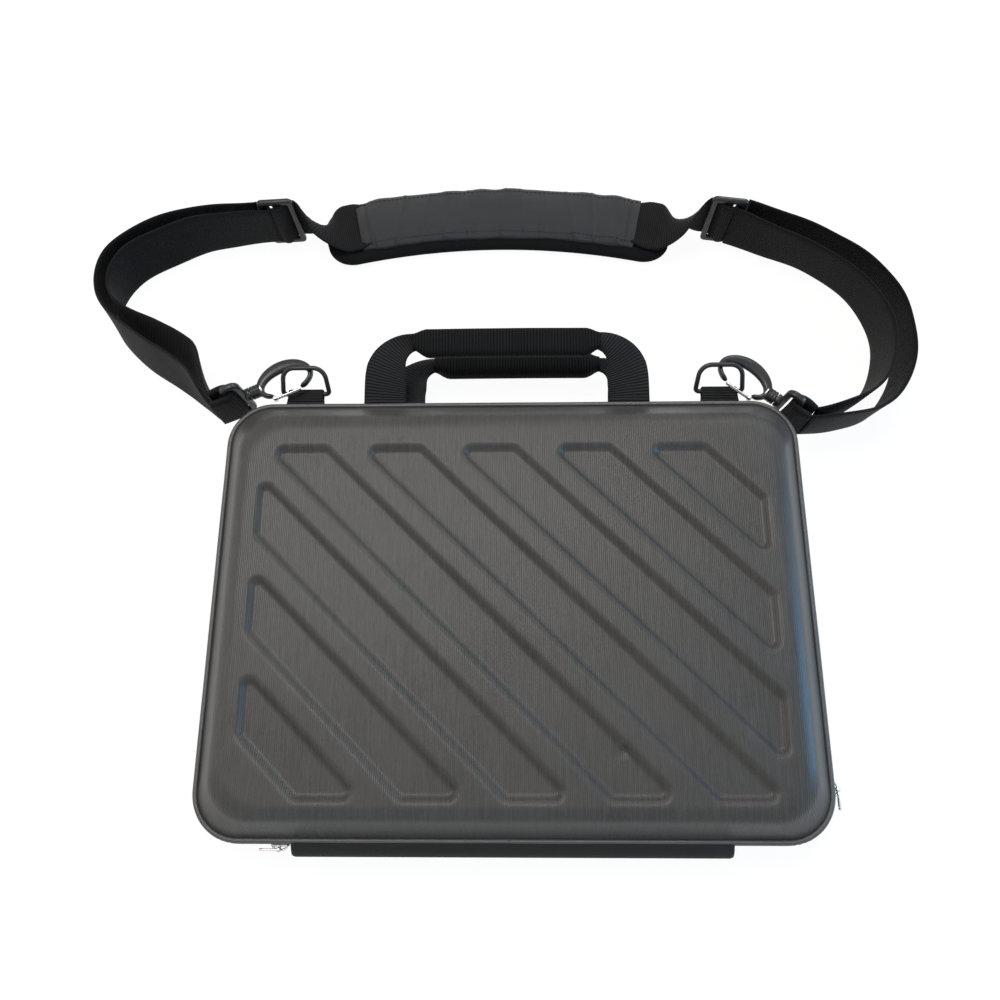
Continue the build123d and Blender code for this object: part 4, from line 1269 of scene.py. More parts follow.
def round_case(name, section, finish, body, node, gap=0.0, leaning=0.0, wave=0.0):
    """Strip round the case's outline. section is a closed line of (way out, height)."""
    points, ways = outline(gap)
    shift = lean(points) * leaning
    s = lengths(points)
    rings, cloth = [], []
    for p, way, d, out in zip(points, ways, s, shift):
        jitter = wave * math.sin(d / 13.0) * math.sin(d / 41.0 + 1)
        rings.append([(*(p + way * (o + out)), h + jitter) for o, h in section])
        cloth.append([(o * 0.7 + h, d) for o, h in section])
    strip = loft(name, rings, finish, cloth, closed=gap == 0)
    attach(strip, body)
    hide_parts(node)
    return strip


def rounded_section(out_low, out_high, low, high, soft, steps=3):
    """Rectangle with rounded corners, as (way out, height) points."""
    section = []
    for cx, cy, start in ((out_high - soft, high - soft, 0), (out_low + soft, high - soft, 90),
                          (out_low + soft, low + soft, 180), (out_high - soft, low + soft, 270)):
        for angle in np.radians(np.linspace(start, start + 90, steps)):
            section.append((cx + soft * math.cos(angle), cy + soft * math.sin(angle)))
    return section


def mirror_height(section):
    """A base strip's section, turned over for the lid."""
    return [(o, 2 * PARTING - h) for o, h in section]


BIND = rounded_section(-BINDING - 1.2, 0.35, BASE_LIP - LIP_HEIGHT - 0.6, BASE_LIP, 1.35, 5)
TAPE_SECTION = rounded_section(OVERHANG - TAPE, OVERHANG, BASE_LIP + 0.02, BASE_LIP + 1.2, 0.4)
round_case("base_binding_tape", BIND, BINDING_CLOTH, "base", "base_binding", wave=0.12)
round_case("lid_binding_tape", mirror_height(BIND), BINDING_CLOTH, "lid", "lid_binding", wave=0.12)
round_case("base_zip_band", TAPE_SECTION, ZIP_TAPE, "base", "base_zip_tape", ZIP_END - 4.0, 1.0)
round_case("lid_zip_band", mirror_height(TAPE_SECTION), ZIP_TAPE, "lid", "lid_zip_tape",
           ZIP_END - 4.0)


def coil(name, body, node, height, leaning):
    """Row of coil teeth on a cord that is sewn to the tape."""
    points, ways = outline(ZIP_END)
    points = points + ways * (lean(points)[:, None] * leaning - 0.2)
    line = np.column_stack([points, np.full(len(points), height)])
    row = beads(name + "_teeth", [line], COIL_PITCH, (2.3, 2.9, 1.05), COIL, wander=0.03)
    core = rod(name + "_cord", line, 0.75, ZIP_TAPE, around=8)
    both = join(name, [row, core])
    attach(both, body)
    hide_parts(node)


coil("base_coil_row", "base", "base_zip_coil", BASE_LIP + 2.45, 1.0)
coil("lid_coil_row", "lid", "lid_zip_coil", LID_LIP - 2.45, 0.0)


# ---------------------------------------------------------------- zip sliders and pulls
SLIDER_RIGHT_Y = -100.0
SLIDER_LEFT_X = -127.0
PLATE, SKIN_GAP = 1.3, 0.35  # the slider's plate, and its gap to the tape
SLIDER_LOW, SLIDER_HIGH = BASE_LIP - SKIN_GAP - PLATE, PARTING - 0.1
POST_X = SKIN_GAP + PLATE + 2.75 / 2
PULL_LOW = SLIDER_HIGH + 0.2
PULL_HIGH = PULL_LOW + 2.6
PULL_LENGTH = 12.0


def slider_place(side):
    """Slider's frame: x out of the case, y along the zip."""
    if side == "right":
        return Matrix.Translation(Vector((HALF_X + OVERHANG, SLIDER_RIGHT_Y, 0)))
    place = Matrix.Translation(Vector((SLIDER_LEFT_X, -HALF_Y - OVERHANG, 0)))
    return place @ Matrix.Rotation(-math.pi / 2, 4, "Z")


def moved(points, place):
    """Points of a part's own frame, in the case's."""
    return np.array([tuple(place @ Vector(p)) for p in points])


def upright_plate(place, x, y, z):
    """Frame of a plate that stands in the slider's y and z."""
    turned = Matrix.Rotation(math.pi / 2, 4, "Z") @ Matrix.Rotation(math.pi / 2, 4, "X")
    return place @ Matrix.Translation(Vector((x, y, z))) @ turned


def rounded_outline(corners, radius, steps=5):
    """Closed plan outline with rounded corners, for corners given counter-clockwise."""
    corners = [np.array(c, float) for c in corners]
    points = []
    count = len(corners)
    for i, corner in enumerate(corners):
        before, after = corners[i - 1], corners[(i + 1) % count]
        r = radius[i] if hasattr(radius, "__len__") else radius
        a, b = unit(before - corner), unit(after - corner)
        half = math.acos(max(-1.0, min(1.0, float(a.dot(b))))) / 2
        reach = r / math.tan(half)
        start, end = corner + a * reach, corner + b * reach
        middle = corner + unit(a + b) * (r / math.sin(half))
        first = math.atan2(*(start - middle)[::-1])
        turn = math.atan2(*(end - middle)[::-1]) - first
        turn = (turn + math.pi) % (2 * math.pi) - math.pi
        points += [middle + r * np.array([math.cos(first + turn * s), math.sin(first + turn * s)])
                   for s in np.linspace(0, 1, steps)]
    return points


def circle(x, y, radius, steps):
    """Closed plan outline of a round hole or post."""
    return [(x + radius * math.cos(a), y + radius * math.sin(a))
            for a in np.linspace(0, 2 * math.pi, steps, endpoint=False)]


def slider(side):
    """Plated slider: a plate on the zip's lower row, its toe, a bridge, and an arm with the pull's post."""
    place = slider_place(side)
    high = SLIDER_HIGH
    middle, half = (SLIDER_LOW + high) / 2, (high - SLIDER_LOW) / 2
    shield = rounded_outline([(-5.0, -half), (4.2, -half), (5.0, -half + 1.2), (5.0, half - 1.2), (4.2, half),
                              (-5.0, half)], [1.2, 0.4, 0.5, 0.5, 0.4, 1.2])
    body = rounded_slab(f"slider_body_{side}", [shield], PLATE, 0.38, upright_plate(place, 1.0, 0, middle),
                        NICKEL)
    toe_outline = rounded_outline([(-4.8, -0.7), (4.8, -0.7), (4.8, 0.7), (-4.8, 0.7)], 0.4)
    along = Matrix.Rotation(math.pi / 2, 4, "Z")
    toe_place = place @ Matrix.Translation(Vector((-0.1, 0, BASE_LIP - 1.0))) @ along
    toe = rounded_slab(f"slider_toe_{side}", [toe_outline], 1.2, 0.3, toe_place, NICKEL)
    arch = curve_through([(x, y, high - 0.9) for x, y in
                          ((1.4, -4.0), (2.6, -3.4), (3.5, -1.4), (3.6, 0.8), (2.9, 3.2), (1.4, 4.0))], 0.5)
    bridge = rod(f"slider_bridge_{side}", moved(arch, place), 0.62, NICKEL, around=10)
    arm_path = moved([(x, 0, high - 0.75) for x in (1.4, 2.2, POST_X + 0.9, POST_X + 1.2)], place)
    arm = rod(f"slider_arm_{side}", arm_path, (0.72, 0.72, 0.7, 0.4), NICKEL)
    post_path = moved([(POST_X, 0, high + rise) for rise in (-0.6, 1.0, 2.95, 3.0, 3.25, 3.5)], place)
    post = rod(f"slider_post_{side}", post_path, (0.55, 0.55, 0.55, 1.0, 0.98, 0.55), NICKEL, around=16,
               up=(1, 0, 0))
    whole = join(f"slider_{side}_plated", [body, toe, bridge, arm, post])
    keep_edges(whole, 50)
    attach(whole, f"slider_{side}")
    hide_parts(f"zip_slider_{side}")


def pull(side):
    """Plated pull tab with a boss that turns on the slider's post."""
    place = slider_place(side)
    middle, half = (PULL_LOW + PULL_HIGH) / 2, (PULL_HIGH - PULL_LOW) / 2
    blade = rounded_outline([(-PULL_LENGTH + 1.1, -half), (-0.9, -half + 0.35), (-0.9, half - 0.35),
                             (-PULL_LENGTH + 1.1, half)], [1.25, 0.3, 0.3, 1.25])
    eye = circle(-PULL_LENGTH + 2.6, 0, 0.62, 16)
    leaf = rounded_slab(f"pull_leaf_{side}", [blade, eye], 1.1, 0.3, upright_plate(place, POST_X, 0, middle),
                        NICKEL)
    profile = ((0, 0.66), (0.05, 1.1), (0.25, 1.3), (2 * half - 0.25, 1.3), (2 * half - 0.05, 1.1),
               (2 * half, 0.66))
    rings = [[(x, y, PULL_LOW + h) for x, y in circle(POST_X, 0, r, 24)] for h, r in profile]
    boss = loft(f"pull_boss_{side}", [moved(r, place) for r in rings], NICKEL)
    whole = join(f"pull_{side}_plated", [leaf, boss])
    keep_edges(whole, 50)
    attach(whole, f"pull_{side}")
    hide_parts(f"zip_pull_{side}")


for side in ("left", "right"):
    slider(side)
    pull(side)
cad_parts["zip_stops"].data.materials[0] = NICKEL


# ---------------------------------------------------------------- hinge cloth
HINGE_THICKNESS = 1.1
HINGE_SEAM_Y = -129.1


def hinge_cloth():
    """Cloth between the two bindings, which on the case rolls over as the lid opens; here it is one fixed
    strip in its closed shape.
    """
    profile = curve_through([(0, -127.6, 22.6), (0, -129.2, 22.9), (0, -132.2, 24.6), (0, -134.3, 27.4),
                             (0, -134.6, 30), (0, -134.3, 32.6), (0, -132.2, 35.4), (0, -129.2, 37.1),
                             (0, -127.6, 37.4)], 0.8)
    reach = lengths(profile)
    slope = tangents(profile)
    way = np.stack([np.zeros(len(slope)), slope[:, 2], -slope[:, 1]], axis=1)
    rings, cloth = [], []
    for x in np.linspace(-HINGE_HALF, HINGE_HALF, 150):
        end = smooth_step(HINGE_HALF - abs(x), 0, 1.2)
        ripple = 0.10 * math.sin(x / 6.1) + 0.14 * math.sin(x / 17.0 + 0.7) + 0.06 * math.sin(x / 2.3)
        bulge = ripple * np.sin(reach / reach[-1] * math.pi)
        outer = profile + way * (bulge - 0.05)[:, None]
        inner = profile - way * (HINGE_THICKNESS * (0.5 + 0.5 * end))
        ring = np.concatenate([outer, inner[::-1]])
        ring[:, 0] = x
        rings.append(ring)
        cloth.append([(x, s) for s in np.concatenate([reach, reach[::-1]])])
    skin = loft("hinge_cloth_strip", rings, HINGE_CLOTH, cloth)
    lines = [[(x, HINGE_SEAM_Y, h) for x in np.linspace(-HINGE_HALF + 2, HINGE_HALF - 2, 80)]
             for h in (22.55, 37.45)]
    seams = beads("hinge_stitches", lines, 3.0, (0.5, 0.5, 2.2), THREAD, wander=0.04)
    whole = join("hinge_cloth_sewn", [skin, seams])
    keep_edges(whole, 60)
    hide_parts("hinge_leaf_base", "hinge_leaf_lid", "hinge_cord")
    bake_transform(whole)


hinge_cloth()

# ---------------------------------------------------------------- handles
FOLD_Y = 130.7               # line on which both handles fold
WEBBING = 26.0
LEG_CORE = 12.0
CORE_FAR = 43.55
GRIP_MIDDLE_Y = 37.55
GRIP_WIDTH = 15.5
GRIP_HEIGHT = 11.0
GRIP_SLACK = 2.6             # the sleeve bags out towards the case
OUTER_TURN, INNER_TURN = 30.0, 9.0
LEG_RINGS, CORE_RINGS = 46, 10


def handle_edges(span, side):
    """Outer and inner edge of one leg and its turn into the grip, from the fold up."""
    wide, narrow = span / 2 + WEBBING / 2, span / 2 - WEBBING / 2
    window = CORE_FAR - LEG_CORE
    turn = np.radians(np.linspace(0, 90, 14))

    def bend(x, y, radius):
        return [(x - radius + radius * math.cos(a), y - radius + radius * math.sin(a)) for a in turn]
    outer = [(wide, y) for y in np.linspace(0, CORE_FAR - OUTER_TURN, 6)] + bend(wide, CORE_FAR, OUTER_TURN)
    outer += [(x, CORE_FAR) for x in np.linspace(wide - 32, narrow - 16, 6)]
    inner = [(narrow, y) for y in np.linspace(0, window - INNER_TURN, 10)] + bend(narrow, window, INNER_TURN)
    inner += [(x, window) for x in np.linspace(narrow - 10, narrow - 16, 4)]
    return [resample(np.array(edge) * (side, 1), 0.5) for edge in (outer, inner)]


def handle_leg(span, side, bend):
    """One leg's points, width directions, widths and bows, in the order that the webbing runs."""
    share = np.linspace(0, 1, LEG_RINGS)
    ends = []
    for edge in handle_edges(span, side):
        s = lengths(edge) / lengths(edge)[-1]
        ends.append(np.stack([np.interp(share, s, edge[:, i]) for i in range(2)], axis=1))
    gap = ends[0] - ends[1]
    wide = np.linalg.norm(gap, axis=1)
    curl = smooth_step(share, 0.42, 0.9)
    wave = 0.5 * np.sin(share * 9.0 + side) * (1 - curl) * share
    leg = (np.column_stack([(ends[0] + ends[1]) / 2, wave]),
           np.column_stack([gap / wide[:, None], np.zeros(LEG_RINGS)]),
           np.minimum(wide, WEBBING) * (1 - 0.12 * curl),
           curl * 2.6 * bend * side)
    return [row if side < 0 else row[::-1] for row in leg]


def handle(which, span, middle, height, lift):
    """Webbing handle: two sewn ends, legs that turn and curl into the grip, and the grip."""
    place = Matrix.Translation(Vector((middle, FOLD_Y, height))) @ Matrix.Rotation(math.radians(lift), 4, "X")
    bend = 1 if lift > 0 else -1
    stations, across, width, bow = zip(*(handle_leg(span, side, bend) for side in (-1, 1)))
    core_x = np.linspace(stations[0][-1][0], stations[1][0][0], CORE_RINGS + 2)[1:-1]
    core = np.column_stack([core_x, np.full(CORE_RINGS, GRIP_MIDDLE_Y), np.zeros(CORE_RINGS)])
    web = np.concatenate([stations[0], core, stations[1]])
    over = np.concatenate([across[0], np.tile((0, 1.0, 0), (CORE_RINGS, 1)), across[1]])
    widths = np.concatenate([width[0], np.full(CORE_RINGS, LEG_CORE * 0.88), width[1]])
    bows = np.concatenate([bow[0], np.zeros(CORE_RINGS), bow[1]])
    legs = moved(web, place)
    over = over @ np.array(place.to_3x3()).T
    direction = np.array([0, math.cos(math.radians(lift)), math.sin(math.radians(lift))])
    sewn = []
    for sign in (-1, 1):
        x = middle + sign * span / 2
        fold = curve_through([(x, 129.05, height - 1.85 * bend), (x, 129.05, height - 0.7 * bend),
                              (x, 129.3, height + 0.15 * bend), (x, 130.3, height + 0.1 * bend),
                              tuple(np.array([x, FOLD_Y, height]) + direction * 1.2)], 0.45)
        sewn.append(fold)
    path = np.concatenate([sewn[0][:-1], legs[2:-2], sewn[1][::-1][1:]])
    head = np.tile((-1.0, 0, 0), (len(sewn[0]) - 1, 1))
    tail = np.tile((1.0, 0, 0), (len(sewn[1]) - 1, 1))
    over = np.concatenate([head, over[2:-2], tail])
    over = signed(over, path, place)
    widths = np.concatenate([np.full(len(head), WEBBING), widths[2:-2], np.full(len(tail), WEBBING)])
    bows = np.concatenate([np.zeros(len(head)), bows[2:-2], np.zeros(len(tail))])
    web = ribbon(f"{which}_handle_webbing", path, over, widths, 1.9, HANDLE_WEBBING, bow=bows)
    stitches = box_stitches(which, span, middle, height)
    both = join(f"{which}_handle_sewn", [web, stitches])
    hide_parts(f"{which}_handle", f"{which}_handle_anchors")
    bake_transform(both)
    handle_grip(which, span, place)


def signed(over, path, place):
    """Turn each width direction so that the ribbon's upper side stays upper."""
    normal = np.array(place.to_3x3() @ Vector((0, 0, 1)))
    along = tangents(path)
    up = np.cross(along, over)
    keep = np.sign(up @ normal)
    keep[keep == 0] = 1
    for i in range(1, len(keep)):
        if abs(up[i] @ normal) < 0.3:
            keep[i] = keep[i - 1] if (over[i] * keep[i]) @ (over[i - 1] * keep[i - 1]) < 0 else keep[i]
    return over * keep[:, None]


def box_stitches(which, span, middle, height):
    """Two rows of stitches over each sewn end."""
    lines = []
    for sign in (-1, 1):
        x = middle + sign * span / 2
        for h in (height - 0.95, height + 0.35):
            lines.append([(x + t, 130.1, h) for t in np.linspace(-11.5, 11.5, 12)])
    return beads(f"{which}_handle_stitches", lines, 1.9, (0.4, 0.45, 1.4), THREAD)


def handle_grip(which, span, place):
    """Ribbed padded sleeve sewn round the middle of the handle."""
    half = span / 2 - WEBBING / 2 - 4.0
    rounding = np.array([0, 0.25, 0.8, 1.8, 3.4, 6.0])
    stations = np.concatenate([-half + rounding, np.linspace(-half + 9, half - 9, 60), half - rounding[::-1]])
    around = np.linspace(0, 2 * math.pi, 36, endpoint=False)
    rings, cloth = [], []
    for x in stations:
        gap = half - abs(x)
        end = 0.66 + 0.34 * smooth_step(gap, 0, 9.0) - (0.10 if gap < 0.1 else 0.0)
        crown = 0.5 * math.cos(x / half * math.pi / 2)
        dent = 0.25 * math.sin(x / 9.0) * math.sin(x / 23.0 + 1)
        c, s = np.cos(around), np.sin(around)
        y = squared(c, 2 / 3.4) * (GRIP_WIDTH / 2) * end + GRIP_MIDDLE_Y + crown * 0.4
        z = squared(s, 2 / 3.0) * (GRIP_HEIGHT / 2 - 0.3) * end
        z = z + (crown * 0.5 + dent * 0.4) * (s > 0)
        y = y - GRIP_SLACK * smooth_step(gap, 0, 12.0) * (GRIP_MIDDLE_Y + GRIP_WIDTH / 2 - y) / GRIP_WIDTH
        rings.append(moved(np.column_stack([np.full(36, x), y, z]), place))
        arc = around * (GRIP_WIDTH + GRIP_HEIGHT) / 4
        cloth.append(np.column_stack([arc, np.full(36, x)]))
    sleeve = loft(f"{which}_grip_sleeve", rings, GRIP_WEBBING, cloth)
    seam_line = [tuple(place @ Vector((x, GRIP_MIDDLE_Y - 2.0, -GRIP_HEIGHT / 2 + 0.25)))
                 for x in np.linspace(-half + 9, half - 9, 60)]
    stitches = beads(f"{which}_grip_stitches", [seam_line], 2.8, (0.5, 0.5, 1.9), THREAD)
    both = join(f"{which}_grip_sewn", [sleeve, stitches])
    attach(both, f"{which}_handle")
    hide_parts(f"{which}_grip")


handle("front", 152.6, -2.6, 36.0, 12.0)
handle("rear", 144.0, 4.0, 24.0, -18.0)


# ---------------------------------------------------------------- rings and their tabs
RINGS = {"left": -132.0, "right": 133.0}
RING_Y = 141.0
RING_Z = 24.0
RING_WIRE = 1.5
RING_TILT = math.radians(47.3)
TAB_WIDTH = 25.0
TAB_THICKNESS = 1.45
TAB_SEAMS = (131.0, 135.5)   # the tab's box of stitches, along Y


def ring_tab(side):
    """Webbing folded round the ring's bar and sewn to the base."""
    x = RINGS[side]
    reach = RING_WIRE + 0.08 + 0.75
    turn = np.radians(np.linspace(-90, 90, 9))
    route = [(x, 128.2, RING_Z - 1.05), (x, 131.0, RING_Z - 1.15), (x, 137.0, RING_Z - reach + 0.1)]
    route += [(x, RING_Y + reach * math.cos(a), RING_Z + reach * math.sin(a)) for a in turn]
    route += [(x, 137.0, RING_Z + reach - 0.1), (x, 131.0, RING_Z + 1.15), (x, 128.2, RING_Z + 1.05)]
    path = resample(np.array(route), 0.7)
    s = lengths(path)
    end = np.minimum(s, s[-1] - s)
    width = TAB_WIDTH - 2.6 * smooth_step(end, 1.0, 11.0)
    tab = ribbon(f"ring_tab_{side}_webbing", path, (1.0, 0, 0), width, TAB_THICKNESS, HANDLE_WEBBING)

    def sewn(t, y):
        return x + t, y, RING_Z + 1.7 + (y - TAB_SEAMS[0]) * 0.17
    lines = [[sewn(t, y) for t in np.linspace(-10.3, 10.3, 12)] for y in TAB_SEAMS]
    lines += [[sewn(t, y) for y in np.linspace(*TAB_SEAMS, 5)] for t in (-10.3, 10.3)]
    stitches = beads(f"ring_tab_{side}_stitches", lines, 2.0, (0.45, 0.5, 1.5), THREAD)
    both = join(f"ring_tab_{side}_sewn", [tab, stitches])
    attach(both, "base")
    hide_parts(f"ring_tab_{side}")


def d_ring(side):
    """Bent wire ring, welded at its bar."""
    bent = rounded_outline([(-15.0, 0), (15.0, 0), (13.0, 18.0), (-13.0, 18.0)], [2.1, 2.1, 8.0, 8.0], 9)
    flat = resample(np.array(bent + bent[:1]), 0.8)[:-1]
    place = Matrix.Translation(Vector((RINGS[side], RING_Y, RING_Z))) @ Matrix.Rotation(RING_TILT, 4, "X")
    path = moved(np.column_stack([flat, np.zeros(len(flat))]), place)
    up = np.array(place.to_3x3() @ Vector((0, 0, 1)))
    ring = rod(f"d_ring_{side}_wire", path, RING_WIRE, BLACK_WIRE, closed=True, around=14, up=up)
    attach(ring, f"ring_{side}")
    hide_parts(f"d_ring_{side}")


# ---------------------------------------------------------------- snap hooks
def hook_section(angle):
    """Outer and inner point of the hook's body, in its plane, at an angle round its middle."""
    c, s = math.cos(angle), math.sin(angle)
    broad = 11.5 + 1.9 * max(s, 0.0)
    return np.array([23.0 + 19.0 * c, broad * s]), np.array([23.5 + 15.0 * c, -1.5 + 7.0 * s])


TURNED = 28                  # points round a turned part


def turned_part(name, place, profile, finish):
    """Part turned about the hook's x. profile is (x, radius)."""
    turn = np.linspace(0, 2 * math.pi, TURNED, endpoint=False)
    rings = [moved([(x, r * math.cos(a), r * math.sin(a)) for a in turn], place) for x, r in profile]
    return loft(name, rings, finish)


def hook_curve(side, place):
    """The hook's body and its collar, one moulding."""
    angles = np.radians(np.linspace(-61.5, 231.5, 70))
    turn = np.linspace(0, 2 * math.pi, 20, endpoint=False)
    rings = []
    for i, angle in enumerate(angles):
        outer, inner = hook_section(angle)
        end = min(i, len(angles) - 1 - i)
        close = (0.45, 0.8, 0.95)[end] if end < 3 else 1.0
        tip = math.exp(-((math.degrees(angle) - 18) / 55) ** 2)
        depth = (2.35 + 0.35 * tip) * close
        middle, half = (outer + inner) / 2, (outer - inner) / 2 * close
        ring = [(*(middle + half * squared(math.cos(a), 0.75)), depth * squared(math.sin(a), 0.75))
                for a in turn]
        rings.append(moved(ring, place))
    body = loft(f"hook_curve_{side}", rings, BLACK_HARDWARE)
    ribs = [(0.02, 2.3), (0.05, 3.9), (0.5, 4.4), (1.5, 4.4), (1.8, 4.15), (2.2, 4.15), (2.5, 4.4),
            (3.5, 4.4), (3.8, 4.15), (4.2, 4.15), (4.5, 4.4), (5.5, 4.3), (6.0, 3.6)]
    collar = turned_part(f"hook_collar_{side}", place, ribs, BLACK_HARDWARE)
    whole = join(f"hook_{side}_moulded", [body, collar])
    keep_edges(whole, 55)
    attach(whole, f"snap_{side}")
    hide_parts(f"hook_{side}")


def hook_gate(side, place):
    """Sprung wire gate and its pin."""
    legs = [(13.6, -10.0), (16.0, -10.05), (22.0, -10.1), (27.0, -10.05), (29.6, -10.0)]
    loop_path = [(x, y, -0.75) for x, y in legs] + [(30.3, -10.0, -0.35), (30.3, -10.0, 0.35)]
    loop_path += [(x, y, 0.75) for x, y in legs[::-1]]
    wire = resample(np.array(loop_path), 0.6)
    bent = rod(f"gate_wire_{side}", moved(wire, place), 0.62, SPRING_STEEL, around=10,
               up=tuple(place.to_3x3() @ Vector((0.05, 1.0, 0.02))))
    pin_path = moved([(13.4, -9.9, z) for z in (-2.3, -2.1, 0, 2.1, 2.3)], place)
    pin = rod(f"gate_pin_{side}", pin_path, (0.8, 1.3, 1.3, 1.3, 0.8), SPRING_STEEL,
              up=tuple(place.to_3x3() @ Vector((1, 0, 0))))
    gate = join(f"gate_{side}_wire", [bent, pin])
    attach(gate, f"gate_{side}")
    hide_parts(f"hook_gate_{side}")


def hook_eye(side, place):
    """The webbing's eye, with the boss and the stem that the hook turns on."""
    window = rounded_outline([(-10.9, -16.0), (-6.4, -16.0), (-6.4, 16.0), (-10.9, 16.0)], 1.4)
    bail = rounded_outline([(-14.9, -20.0), (-2.4, -20.0), (-2.4, 20.0), (-14.9, 20.0)],
                           [4.0, 5.5, 5.5, 4.0], 8)
    stand = place @ Matrix.Rotation(math.pi / 2, 4, "X")
    eye = rounded_slab(f"eye_frame_{side}", [bail, window], EYE_BAR, 1.1, stand, BLACK_HARDWARE)
    boss_profile = [(-4.2, 3.2), (-3.2, 4.2), (-0.9, 4.4), (-0.5, 4.2), (-0.42, 2.3)]
    stem_profile = [(-2.0, 2.0), (-1.6, 2.15), (6.38, 2.15), (6.42, 3.0), (6.7, 3.4), (7.5, 3.35),
                    (7.78, 2.6)]
    boss = turned_part(f"eye_boss_{side}", place, boss_profile, BLACK_HARDWARE)
    stem = turned_part(f"eye_stem_{side}", place, stem_profile, NICKEL)
    whole = join(f"eye_{side}_moulded", [eye, boss, stem])
    keep_edges(whole, 50)
    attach(whole, "base")
    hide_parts(f"hook_eye_{side}")


for side in ("left", "right"):
    ring_tab(side)
    d_ring(side)
    hook_curve(side, hook_axes(side))
    hook_gate(side, hook_axes(side))
    hook_eye(side, hook_axes(side))


# ---------------------------------------------------------------- slides
SLOT = 18.8                  # half the height of a slide's slots


def adjuster(side):
    """Three-bar slide that stands on its edge."""
    at, turn = ADJUSTERS[side]
    half = ADJUSTER_HEIGHT / 2
    turned = Matrix.Rotation(turn, 4, "Z") @ Matrix.Rotation(math.pi / 2, 4, "X")
    place = Matrix.Translation(Vector((*at, half))) @ turned
    frame_outline = rounded_outline([(-12, -half), (12, -half), (12, half), (-12, half)], 3.4, 8)
    slots = [rounded_outline([(a, -SLOT), (b, -SLOT), (b, SLOT), (a, SLOT)], 0.6, 4)
             for a, b in ((-8, -2), (2, 8))]
    slide = rounded_slab(f"adjuster_{side}_moulded", [frame_outline] + slots, 3.2, 1.1, place, BLACK_HARDWARE)
    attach(slide, "base")
    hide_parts(f"adjuster_{side}")


adjuster("left")
adjuster("right")


# ---------------------------------------------------------------- inside of the case
INNER_INSET = BINDING + LIP_STEP + WALL
LINING_THICKNESS = 1.6
LINING_GAP = 0.15
LINING_FACE = FACE_THICKNESS + LINING_GAP + LINING_THICKNESS
BED = 3.0
BED_TOP = LINING_FACE + BED
BAY_X, BAY_Y, BAY_SHIFT = 150.0, 103.0, -1.8
POCKET_X, POCKET_Y, POCKET_SHIFT = 134.0, 56.0, -44.0
POCKET_TOP = 2 * PARTING - LINING_FACE
POCKET_GAP, POCKET_HANG, POCKET_CLOTH = 0.35, 1.9, 0.9   # from the lining, its hang, its thickness
BED_MARGIN = 2.5             # the bed and the guards reach this far past the laptop's bay
GUARD_LEG = 34.0
GUARD_HALF_HEIGHT = 5.5
BAND_WIDTH, BAND_THICKNESS = 25.0, 1.3
LINING_STITCH = (0.45, 0.5, 2.4)


def plan_ring(half_x, half_y, radius, shift, height, steps):
    """Rounded rectangle of points at one height."""
    ring = rounded_outline([(-half_x, -half_y + shift), (half_x, -half_y + shift), (half_x, half_y + shift),
                            (-half_x, half_y + shift)], radius, steps)
    return [(x, y, height) for x, y in ring]


def cup_profile(margin):
    """(inset, height) down a shell's hollow from its mouth, drawn as the lid's."""
    inset = INNER_INSET + margin
    depth = RISE - FACE_THICKNESS - margin
    edge = FACE_EDGE - WALL - margin
    slope = math.atan2(depth, SLOPE_RUN)
    reach = edge * math.tan(slope / 2)
    start = (inset + SLOPE_RUN - reach * math.cos(slope), LIP_HEIGHT + depth - reach * math.sin(slope))
    middle = (inset + SLOPE_RUN + reach, LIP_HEIGHT + depth - edge)
    rounded = [(middle[0] - edge * math.sin(a), middle[1] + edge * math.cos(a))
               for a in np.linspace(slope, 0, 6)]
    return [(inset, 0.0), (inset, LIP_HEIGHT), start] + rounded[1:]


def lining(name, node, body, over):
    """Felted lining glued in the hollow, with a soft rolled edge."""

    def ring(inset, height):
        share = max(0.0, (height - LIP_HEIGHT) / (RISE - FACE_THICKNESS))
        radius = max(CORNER - inset, 9.0)
        return plan_ring(HALF_X - inset, HALF_Y - inset, radius, -FACE_SHIFT * share, height, 12)
    outer, inner = cup_profile(LINING_GAP), cup_profile(LINING_GAP + LINING_THICKNESS)
    rolled = [(outer[0][0] + 0.3, -0.35), (inner[0][0] - 0.3, -0.35)]
    floor = (inner[-1][0] + 6, inner[-1][1] + 0.05)
    rows = outer[::-1] + rolled + inner + [floor]
    cup = loft(name, [over(np.array(ring(inset, height))) for inset, height in rows], LINING_FELT)
    keep_edges(cup, 60)
    lines = []
    mouth = inner[0][0]
    for height in (1.4, 3.0):
        line = plan_ring(HALF_X - mouth - 0.1, HALF_Y - mouth - 0.1, CORNER - mouth, 0, height, 12)
        lines.append(over(np.array(line + line[:1])))
    stitches = beads(name + "_stitches", lines, 3.4, LINING_STITCH, THREAD, wander=0.05)
    both = join(name + "_sewn", [cup, stitches])
    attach(both, body)
    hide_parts(node)


